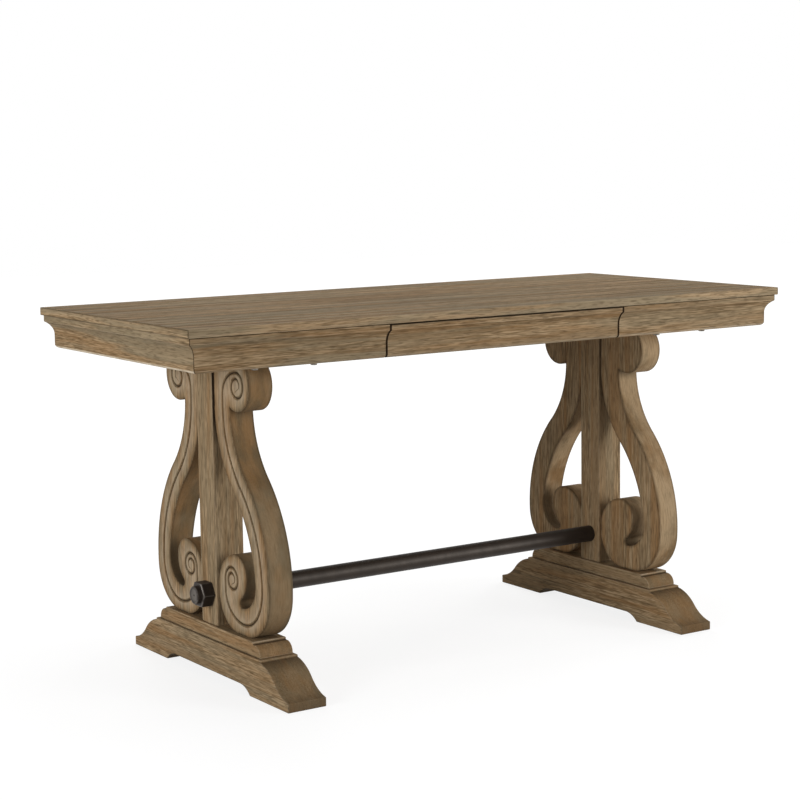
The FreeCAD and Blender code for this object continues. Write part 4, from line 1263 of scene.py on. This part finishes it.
class DESK_OT_tie_nuts(DeskOperator, bpy.types.Operator):
    """Builds the hexagon nuts and round bosses on the outside of the posts"""
    bl_idname = "desk.tie_nuts"
    bl_label = "Tie nuts"

    def execute(self, context):
        metal, ease = context.scene.desk_metal, context.scene.desk_edges.metal_round
        corner = metal.nut_flats / math.sqrt(3)
        around = [math.radians(60 * place) for place in range(6)]
        hexagon = [Vector((corner * math.cos(turn), TUBE_AXIS + corner * math.sin(turn))) for turn in around]
        spots = soften(hexagon, ease, 2 * ease, rubbed=1.0)
        end = End(NUT_CHAMFER * ease, 2 * ease, wear=1.0, stain=0.0)
        seat, tip = POST_HIGH.x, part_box("tie_nuts")[1].x
        face = seat + metal.nut_length
        dish, dish_floor = TUBE_RADIUS * DISH_SHARE, tip - metal.boss_dish
        profile = [(face - ease, INNERMOST, 0.0), (face - ease, TUBE_RADIUS, 0.0)]
        profile += [(tip - back * ease, TUBE_RADIUS - below * ease, wear) for back, below, wear in BOSS_EDGE]
        profile += [(tip, dish + 2 * ease, DISH_EDGE_WEAR), (dish_floor, dish, DISH_WALL_WEAR),
                    (dish_floor, INNERMOST, DISH_FLOOR_WEAR)]
        shell = Shell()
        for _, side in SIDES:
            prism(shell, spots, lambda y, z, x: Vector((side * x, y, z)), (seat, face), (end, end))
            lathe(shell, [(side * along, radius, wear) for along, radius, wear in profile], metal.round_steps)
        set_piece(shell, "iron", "tie_nuts", ALONG_X, FIRST_BOARD["tie_nuts"], GLAZE["tie_nuts"])
        return {"FINISHED"}


class DESK_OT_drawer_box(DeskOperator, bpy.types.Operator):
    """Builds the sides, back and bottom of the drawer"""
    bl_idname = "desk.drawer_box"
    bl_label = "Drawer box"

    def execute(self, context):
        rows = (("left_side", ALONG_Y), ("right_side", ALONG_Y), ("back", ALONG_X), ("bottom", ALONG_X))
        for place, (name, along) in enumerate(rows):
            board(f"drawer_{name}", "inner", along, FIRST_BOARD["drawer_box"] + place)
        return {"FINISHED"}


CORNER_LEG = 0.06


class DESK_OT_carriers(DeskOperator, bpy.types.Operator):
    """Builds the boards, bearers, rails and corner blocks under the top"""
    bl_idname = "desk.carriers"
    bl_label = "Carriers"

    def execute(self, context):
        numbers = count(FIRST_BOARD["carriers"])
        for hand, _ in SIDES:
            for name in ("mounting_board", "runner_rail"):
                board(f"{hand}_{name}", "inner", ALONG_Y, next(numbers))
            for end, _ in ENDS:
                board(f"{hand}_{end}_bearer", "inner", ALONG_X, next(numbers))
        self.corner_blocks(context, next(numbers))
        return {"FINISHED"}

    def corner_blocks(self, context, number):
        """Triangular blocks in the four corners of the apron, as one piece."""
        edges = context.scene.desk_edges
        low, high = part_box("corner_blocks")
        end = End(edges.board_round, edges.oak_rub, wear=1.0, stain=0.0)
        corner = [Vector((high.x, high.y)), Vector((high.x - CORNER_LEG, high.y)),
                  Vector((high.x, high.y - CORNER_LEG))]
        spots = soften(corner, edges.board_round, edges.oak_rub, edges.rubbed)
        shell = Shell()
        for (_, side), (_, way) in product(SIDES, ENDS):
            prism(shell, spots, lambda x, y, z: Vector((side * x, way * y, z)), (low.z, high.z), (end, end))
        set_piece(shell, "inner", "corner_blocks", ALONG_Z, number)


# Roundings of the slides, as shares of their sheet
SLIDE_EDGE, SLIDE_RUB, SLIDE_BEND = 0.125, 0.25, 0.6


class DESK_OT_slides(DeskOperator, bpy.types.Operator):
    """Builds the pressed channels of the drawer slides with their rounded bends"""
    bl_idname = "desk.slides"
    bl_label = "Slides"

    def execute(self, context):
        wall, rubbed = context.scene.desk_metal.slide_wall, context.scene.desk_edges.rubbed
        end = End(wall * SLIDE_EDGE, wall * SLIDE_RUB, wear=0.0, stain=0.0)
        for (hand, side), member in product(SIDES, ("fixed", "middle", "drawer")):
            node = f"{hand}_slide_{member}"
            low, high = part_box(node)
            web, lip = (low.x, high.x) if (member == "drawer") == (side > 0) else (high.x, low.x)
            inner = web + math.copysign(wall, lip - web)
            corners = [Vector(corner) for corner in (
                (web, low.z), (lip, low.z), (lip, low.z + wall), (inner, low.z + wall),
                (inner, high.z - wall), (lip, high.z - wall), (lip, high.z), (web, high.z))]
            spots = soften(anticlockwise(corners), wall * SLIDE_BEND, wall, rubbed)
            shell = Shell()
            prism(shell, spots, PLACES[ALONG_Y], (low.y, high.y), (end, end))
            set_piece(shell, "zinc", node, ALONG_Y, FIRST_BOARD["slides"])
        return {"FINISHED"}


# Fasteners, repeated by geometry nodes

class FastenerTree:
    """A geometry node group that sets one fastener on every point, turned to the point's facing."""

    def __init__(self, name, lengths):
        self.tree = bpy.data.node_groups.new(name, "GeometryNodeTree")
        self.identifiers = {}
        self.socket("Geometry", "INPUT", "NodeSocketGeometry")
        for title in lengths:
            self.socket(title, "INPUT", "NodeSocketFloat")
        self.socket("Material", "INPUT", "NodeSocketMaterial")
        self.socket("Geometry", "OUTPUT", "NodeSocketGeometry")
        self.given = self.node("NodeGroupInput").outputs

    def socket(self, title, way, kind):
        made = self.tree.interface.new_socket(name=title, in_out=way, socket_type=kind)
        if way == "INPUT":
            self.identifiers[title] = made.identifier

    def node(self, kind, settings=None, sockets=None):
        made = self.tree.nodes.new(kind)
        for name, setting in (settings or {}).items():
            setattr(made, name, setting)
        for name, given in (sockets or {}).items():
            for source in given if isinstance(given, list) else [given]:
                if isinstance(source, bpy.types.NodeSocket):
                    self.tree.links.new(source, made.inputs[name])
                else:
                    made.inputs[name].default_value = source
        return made

    def scaled(self, title, factor, over=None):
        """A length of the group times a number, over another length if one is named."""
        operation = {"operation": "MULTIPLY_ADD" if over else "MULTIPLY"}
        sockets = {0: self.given[title], 1: factor}
        if over:
            sockets[2] = self.given[over]
        return self.node("ShaderNodeMath", operation, sockets).outputs[0]

    def cylinder(self, steps, radius, depth, lift):
        """A drum on Z whose middle is lifted."""
        drum = self.node("GeometryNodeMeshCylinder", {"fill_type": "NGON"},
                         {"Vertices": steps, "Radius": radius, "Depth": depth}).outputs["Mesh"]
        return self.lifted(drum, lift)

    def cone(self, steps, bottom, top, depth, lift):
        """A blunt cone on Z whose bottom is lifted."""
        blunt = self.node("GeometryNodeMeshCone", {"fill_type": "NGON"}, {
            "Vertices": steps, "Radius Bottom": bottom, "Radius Top": top, "Depth": depth}).outputs["Mesh"]
        return self.lifted(blunt, lift)

    def lifted(self, mesh, lift):
        offset = self.node("ShaderNodeCombineXYZ", None, {"Z": lift}).outputs[0]
        return self.node("GeometryNodeTransform", None, {"Geometry": mesh, "Translation": offset}).outputs[0]

    def end(self, shapes):
        """Joins the shapes of one fastener, repeats it on the points and gives it its material."""
        one = self.node("GeometryNodeJoinGeometry", None, {"Geometry": shapes}).outputs[0]
        facing = self.node("GeometryNodeInputNamedAttribute", {"data_type": "FLOAT_VECTOR"},
                           {"Name": "facing"}).outputs["Attribute"]
        turn = self.node("FunctionNodeAlignRotationToVector", {"axis": "Z"},
                         {"Vector": facing}).outputs["Rotation"]
        repeated = self.node("GeometryNodeInstanceOnPoints", None, {
            "Points": self.given["Geometry"], "Instance": one, "Rotation": turn}).outputs[0]
        real = self.node("GeometryNodeRealizeInstances", None, {"Geometry": repeated}).outputs[0]
        coated = self.node("GeometryNodeSetMaterial", None,
                           {"Geometry": real, "Material": self.given["Material"]}).outputs[0]
        self.node("NodeGroupOutput", None, {"Geometry": coated})


# Bolts: share of the head under its crown, and radii of crown and shank as shares of the flats
BOLT_DRUM = 0.85
BOLT_CROWN = 0.48
BOLT_SHANK = 0.3
WASHER_FACETS, BOLT_FACETS = 32, 20

# Screws: depths and radii as shares of the head's diameter
SUNK_SHARE = 0.22
SCREW_NECK = 0.29
SCREW_SHANK = 0.28
SCREW_RECESS = 0.3
SCREW_OVERLAP = 0.01
HEAD_FACETS, SCREW_FACETS = 28, 16

FEWEST_FACES = 6


def hexagon_tree():
    """A bolt: washer, hexagon head, the crown turned on it and a shank."""
    tree = FastenerTree("Hexagon bolts", [
        "Flats", "Head height", "Washer diameter", "Washer thickness", "Shank"])
    corner = tree.scaled("Flats", 1 / math.sqrt(3))
    head = tree.cylinder(6, corner, tree.scaled("Head height", BOLT_DRUM),
                         tree.scaled("Head height", BOLT_DRUM / 2, over="Washer thickness"))
    crowned = tree.cone(6, corner, tree.scaled("Flats", BOLT_CROWN),
                        tree.scaled("Head height", 1 - BOLT_DRUM),
                        tree.scaled("Head height", BOLT_DRUM, over="Washer thickness"))
    washer = tree.cylinder(WASHER_FACETS, tree.scaled("Washer diameter", 0.5), tree.given["Washer thickness"],
                           tree.scaled("Washer thickness", 0.5))
    shank = tree.cylinder(BOLT_FACETS, tree.scaled("Flats", BOLT_SHANK), tree.given["Shank"],
                          tree.scaled("Shank", -0.5))
    tree.end([head, crowned, washer, shank])
    return tree


def countersunk_tree():
    """A screw: flat head with a cross recess, and a shank."""
    tree = FastenerTree("Countersunk screws", ["Head diameter", "Recess width", "Recess span", "Shank"])
    head = tree.cone(HEAD_FACETS, tree.scaled("Head diameter", SCREW_NECK), tree.scaled("Head diameter", 0.5),
                     tree.scaled("Head diameter", SUNK_SHARE), tree.scaled("Head diameter", -SUNK_SHARE))
    deep = tree.scaled("Head diameter", SCREW_RECESS)
    slots = []
    for across, along in (("Recess width", "Recess span"), ("Recess span", "Recess width")):
        size = tree.node("ShaderNodeCombineXYZ", None,
                         {"X": tree.given[across], "Y": tree.given[along], "Z": deep}).outputs[0]
        slots.append(tree.node("GeometryNodeMeshCube", None, {"Size": size}).outputs["Mesh"])
    cut = tree.node("GeometryNodeMeshBoolean", {"operation": "DIFFERENCE", "solver": "EXACT"},
                    {"Mesh 1": head, "Mesh 2": slots}).outputs["Mesh"]
    shank = tree.cylinder(SCREW_FACETS, tree.scaled("Head diameter", SCREW_SHANK), tree.given["Shank"],
                          tree.scaled("Shank", -0.5))
    tree.end([cut, tree.lifted(shank, tree.scaled("Head diameter", SCREW_OVERLAP - SUNK_SHARE))])
    return tree


def set_fasteners(name, kind, tree, places, lengths, nodes):
    """Fasteners at (place, facing) in place of the nodes, as one plain mesh."""
    points = bpy.data.meshes.new(name)
    points.from_pydata([place for place, _ in places], [], [])
    facing = points.attributes.new("facing", "FLOAT_VECTOR", "POINT")
    facing.data.foreach_set("vector", [part for _, way in places for part in way])
    source = bpy.data.objects.new(f"{name}_points", points)
    bpy.context.scene.collection.objects.link(source)
    modifier = source.modifiers.new("Fasteners", "NODES")
    modifier.node_group = tree.tree
    for title, size in lengths.items():
        modifier[tree.identifiers[title]] = size
    modifier[tree.identifiers["Material"]] = coat(kind, ALONG_Z)
    evaluated = source.evaluated_get(bpy.context.evaluated_depsgraph_get())
    mesh = bpy.data.meshes.new_from_object(evaluated)
    source.modifiers.clear()
    bpy.data.objects.remove(source)
    if len(mesh.polygons) < FEWEST_FACES * len(places):
        raise RuntimeError(f"{name} came out with too few faces")
    mesh.name = name
    stand_for(link_object(name, mesh, coat(kind, ALONG_Z)), kind, *nodes)


def fastener_boxes(node, expected):
    """Lowest and highest corner of each solid of a node of like fasteners, in order of X, Y and Z."""
    solid = bmesh.new()
    solid.from_mesh(frame["nodes"][node].data)
    bmesh.ops.remove_doubles(solid, verts=solid.verts, dist=SAME_POINT)
    left = set(solid.verts)
    boxes = []
    while left:
        island, grown = set(), [next(iter(left))]
        while grown:
            vertex = grown.pop()
            if vertex in island:
                continue
            island.add(vertex)
            grown += [edge.other_vert(vertex) for edge in vertex.link_edges]
        left -= island
        boxes.append([Vector([limit(vertex.co[axis] for vertex in island) for axis in range(3)])
                      for limit in (min, max)])
    solid.free()
    if len(boxes) != expected:
        raise RuntimeError(f"{node} has {len(boxes)} fasteners")
    return sorted(boxes, key=lambda box: tuple(round(part, 4) for part in box[0]))


BOLTS = 8


class DESK_OT_bolts(DeskOperator, bpy.types.Operator):
    """Sets the mounting bolts with their washers"""
    bl_idname = "desk.bolts"
    bl_label = "Bolts"

    def execute(self, context):
        washers = fastener_boxes("mount_washers", BOLTS)
        places = [(Vector(((low.x + high.x) / 2, (low.y + high.y) / 2, high.z)), DOWN)
                  for low, high in washers]
        low, high = washers[0]
        thickness = high.z - low.z
        sizes = {"Flats": context.scene.desk_metal.bolt_flats,
                 "Head height": low.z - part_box("mount_bolts")[0].z,
                 "Washer diameter": high.x - low.x, "Washer thickness": thickness, "Shank": thickness}
        set_fasteners("zinc_mount_bolts", "bolt", hexagon_tree(), places, sizes,
                      ("mount_bolts", "mount_washers"))
        return {"FINISHED"}


# Node of the screws, the axis they lie along, how many, and 1 if they face away from the middle of the
# desk, -1 towards it and 0 down
SCREWS = (("rail_screws", ALONG_Z, 6, 0), ("rail_slide_screws", ALONG_X, 6, -1),
          ("drawer_slide_screws", ALONG_X, 6, 1), ("drawer_back_screws", ALONG_X, 4, 1))


class DESK_OT_screws(DeskOperator, bpy.types.Operator):
    """Sets the countersunk screws of the rails, the slides and the drawer"""
    bl_idname = "desk.screws"
    bl_label = "Screws"

    def execute(self, context):
        metal = context.scene.desk_metal
        tree = countersunk_tree()
        sizes = {"Head diameter": metal.screw_head, "Recess width": metal.recess_width,
                 "Recess span": metal.recess_span}
        for node, axis, expected, outward in SCREWS:
            boxes = fastener_boxes(node, expected)
            places = [self.head(low, high, axis, outward) for low, high in boxes]
            low, high = boxes[0]
            shank = high[axis] - low[axis] - metal.screw_head * SUNK_SHARE
            set_fasteners(f"zinc_{node}", "zinc", tree, places, sizes | {"Shank": shank}, (node,))
        return {"FINISHED"}

    @staticmethod
    def head(low, high, axis, outward):
        """Middle of the end that holds the head, and the way that it faces."""
        facing = Vector((math.copysign(1.0, low.x) * outward, 0.0, 0.0)) if outward else DOWN
        place = Vector([(near + far) / 2 for near, far in zip(low, high)])
        place[axis] = high[axis] if facing[axis] > 0 else low[axis]
        return place, facing


class DESK_OT_hidden_fixings(DeskOperator, bpy.types.Operator):
    """Coats the fixings that stay inside the joints"""
    bl_idname = "desk.hidden_fixings"
    bl_label = "Hidden fixings"

    def execute(self, context):
        wooden = ("scroll_dowels", "plinth_dowels", "drawer_dowels")
        metal = ("foot_lag_screws", "board_screws", "bolt_inserts", "tie_rod")
        for kind, nodes in (("inner", wooden), ("zinc", metal)):
            for node in nodes:
                slots = frame["nodes"][node].data.materials
                slots.clear()
                slots.append(coat(kind, ALONG_Z))
        return {"FINISHED"}


# Stage

WHITE = (1.0, 1.0, 1.0, 1.0)
CLOTH = (0.9, 0.9, 0.9, 1.0)
FLOOR_HALF = 12.0
FLOOR_HEIGHT = -0.0005
FLOOR_GLOW = 1.1
GLOW_SHARE = 0.75
GLOW_NEAR, GLOW_FAR = 0.9, 2.4
SKY_SEEN, SKY_LIGHT = 1.0, 0.17

Lamp = namedtuple("Lamp", "name place size power glossy")
LAMPS = (Lamp("key", (-5.2, -1.1, 1.25), 2.2, 204.0, True),
         Lamp("fill", (2.9, -3.8, 1.0), 2.0, 178.0, True),
         Lamp("back", (1.4, 4.3, 1.6), 2.2, 120.0, False),
         Lamp("far_end", (4.4, 0.9, 1.3), 2.0, 100.0, False),
         Lamp("overhead", (0.0, 0.2, 3.6), 2.6, 36.0, True))
LAMP_TARGET = Vector((0.0, 0.0, 0.45))

CAMERA_PLACE = (-2.46452, -3.59229, 1.12236)
CAMERA_AZIMUTH, CAMERA_ELEVATION, CAMERA_ROLL = (math.radians(angle) for angle in (-33.80, 7.56, -0.77))
CAMERA_LENS, CAMERA_SENSOR = 88.29, 36.0


class DESK_OT_stage(DeskOperator, bpy.types.Operator):
    """Lays the pale floor and sets the lights and the camera"""
    bl_idname = "desk.stage"
    bl_label = "Stage"

    def execute(self, context):
        self.floor(context)
        self.world(context)
        self.lamps(context)
        self.camera(context)
        context.scene.view_settings.view_transform = "Standard"
        return {"FINISHED"}

    @staticmethod
    def seen(graph):
        """1 for the rays that show the background: seen straight, in a reflection or through glass."""
        rays = graph.node("ShaderNodeLightPath").outputs
        straight, mirrored, through = (Value(graph, rays[name]) for name in (
            "Is Camera Ray", "Is Glossy Ray", "Is Transmission Ray"))
        return (straight + mirrored + through).between(0.0, 1.0)

    @staticmethod
    def mixed(graph, amount, first, second):
        """A shader that turns from the first to the second by an amount."""
        sockets = {0: amount, 1: first.outputs[0], 2: second.outputs[0]}
        return graph.node("ShaderNodeMixShader", None, sockets)

    def floor(self, context):
        """A pale floor that glows white to the camera and still keeps the shadow."""
        material, graph = new_material("studio_floor")
        bounce = graph.node("ShaderNodeBsdfDiffuse", None, {"Color": (*context.scene.desk_finish.floor, 1.0)})
        cloth = graph.node("ShaderNodeBsdfDiffuse", None, {"Color": CLOTH})
        glow = graph.node("ShaderNodeEmission", None, {"Color": WHITE, "Strength": FLOOR_GLOW})
        place = graph.node("ShaderNodeTexCoord").outputs["Object"]
        away = graph.value("ShaderNodeVectorMath", {"operation": "LENGTH"}, {0: place}, output="Value")
        glowing = GLOW_SHARE + away.between(GLOW_NEAR, GLOW_FAR) * (1 - GLOW_SHARE)
        white = self.mixed(graph, glowing, cloth, glow)
        shader = self.mixed(graph, self.seen(graph), bounce, white)
        graph.node("ShaderNodeOutputMaterial", None, {"Surface": shader.outputs[0]})
        mesh = bpy.data.meshes.new("studio_floor")
        corners = rectangle((-FLOOR_HALF, -FLOOR_HALF), (FLOOR_HALF, FLOOR_HALF))
        mesh.from_pydata([(*corner, FLOOR_HEIGHT) for corner in corners], [], [(0, 1, 2, 3)])
        mesh.materials.append(material)
        plane = bpy.data.objects.new("studio_floor", mesh)
        context.scene.collection.objects.link(plane)

    def world(self, context):
        """White where it is seen, soft grey where it lights the desk."""
        world = bpy.data.worlds.new("studio")
        world.use_nodes = True
        graph = Graph(world.node_tree)
        white = graph.node("ShaderNodeBackground", None, {"Color": WHITE, "Strength": SKY_SEEN})
        soft = graph.node("ShaderNodeBackground", None, {"Color": WHITE, "Strength": SKY_LIGHT})
        shader = self.mixed(graph, self.seen(graph), soft, white)
        graph.node("ShaderNodeOutputWorld", None, {"Surface": shader.outputs[0]})
        context.scene.world = world

    def lamps(self, context):
        """Square lamps round the desk; those on its far sides leave no mirror image."""
        for row in LAMPS:
            lamp = bpy.data.lights.new(row.name, "AREA")
            lamp.shape = "SQUARE"
            lamp.size = row.size
            lamp.energy = row.power
            holder = bpy.data.objects.new(row.name, lamp)
            holder.location = row.place
            holder.visible_glossy = row.glossy
            holder.rotation_euler = (LAMP_TARGET - holder.location).to_track_quat("-Z", "Y").to_euler()
            context.scene.collection.objects.link(holder)

    def camera(self, context):
        """A long lens a little above the top, left of the drawer."""
        lens = bpy.data.cameras.new("view")
        lens.lens = CAMERA_LENS
        lens.sensor_width = CAMERA_SENSOR
        holder = bpy.data.objects.new("view", lens)
        aim = Euler((math.pi / 2 - CAMERA_ELEVATION, 0.0, CAMERA_AZIMUTH)).to_matrix()
        turn = aim @ Matrix.Rotation(CAMERA_ROLL, 3, "Z")
        holder.matrix_world = Matrix.Translation(CAMERA_PLACE) @ turn.to_4x4()
        context.scene.collection.objects.link(holder)
        context.scene.camera = holder


OPERATORS = (DESK_OT_top, DESK_OT_mouldings, DESK_OT_drawer_front, DESK_OT_feet, DESK_OT_plinths,
             DESK_OT_posts, DESK_OT_scrolls, DESK_OT_stretcher, DESK_OT_tie_nuts, DESK_OT_drawer_box,
             DESK_OT_carriers, DESK_OT_slides, DESK_OT_bolts, DESK_OT_screws, DESK_OT_hidden_fixings,
             DESK_OT_stage)


class DESK_PT_panel(bpy.types.Panel):
    """Lists the pieces of the desk in the order they are made"""
    bl_idname = "DESK_PT_panel"
    bl_label = "Office desk"
    bl_space_type = "VIEW_3D"
    bl_region_type = "UI"
    bl_category = "Desk"

    def draw(self, context):
        for operator in OPERATORS:
            self.layout.operator(operator.bl_idname)


CLASSES = (*SETTINGS.values(), *OPERATORS, DESK_PT_panel)


def register():
    for group in CLASSES:
        bpy.utils.register_class(group)
    for name, group in SETTINGS.items():
        setattr(bpy.types.Scene, name, PointerProperty(type=group))


def unregister():
    for name in SETTINGS:
        delattr(bpy.types.Scene, name)
    for group in reversed(CLASSES):
        bpy.utils.unregister_class(group)


def main():
    register()
    for operator in OPERATORS:
        group, name = operator.bl_idname.split(".")
        getattr(getattr(bpy.ops, group), name)()


if __name__ == "__main__":
    main()
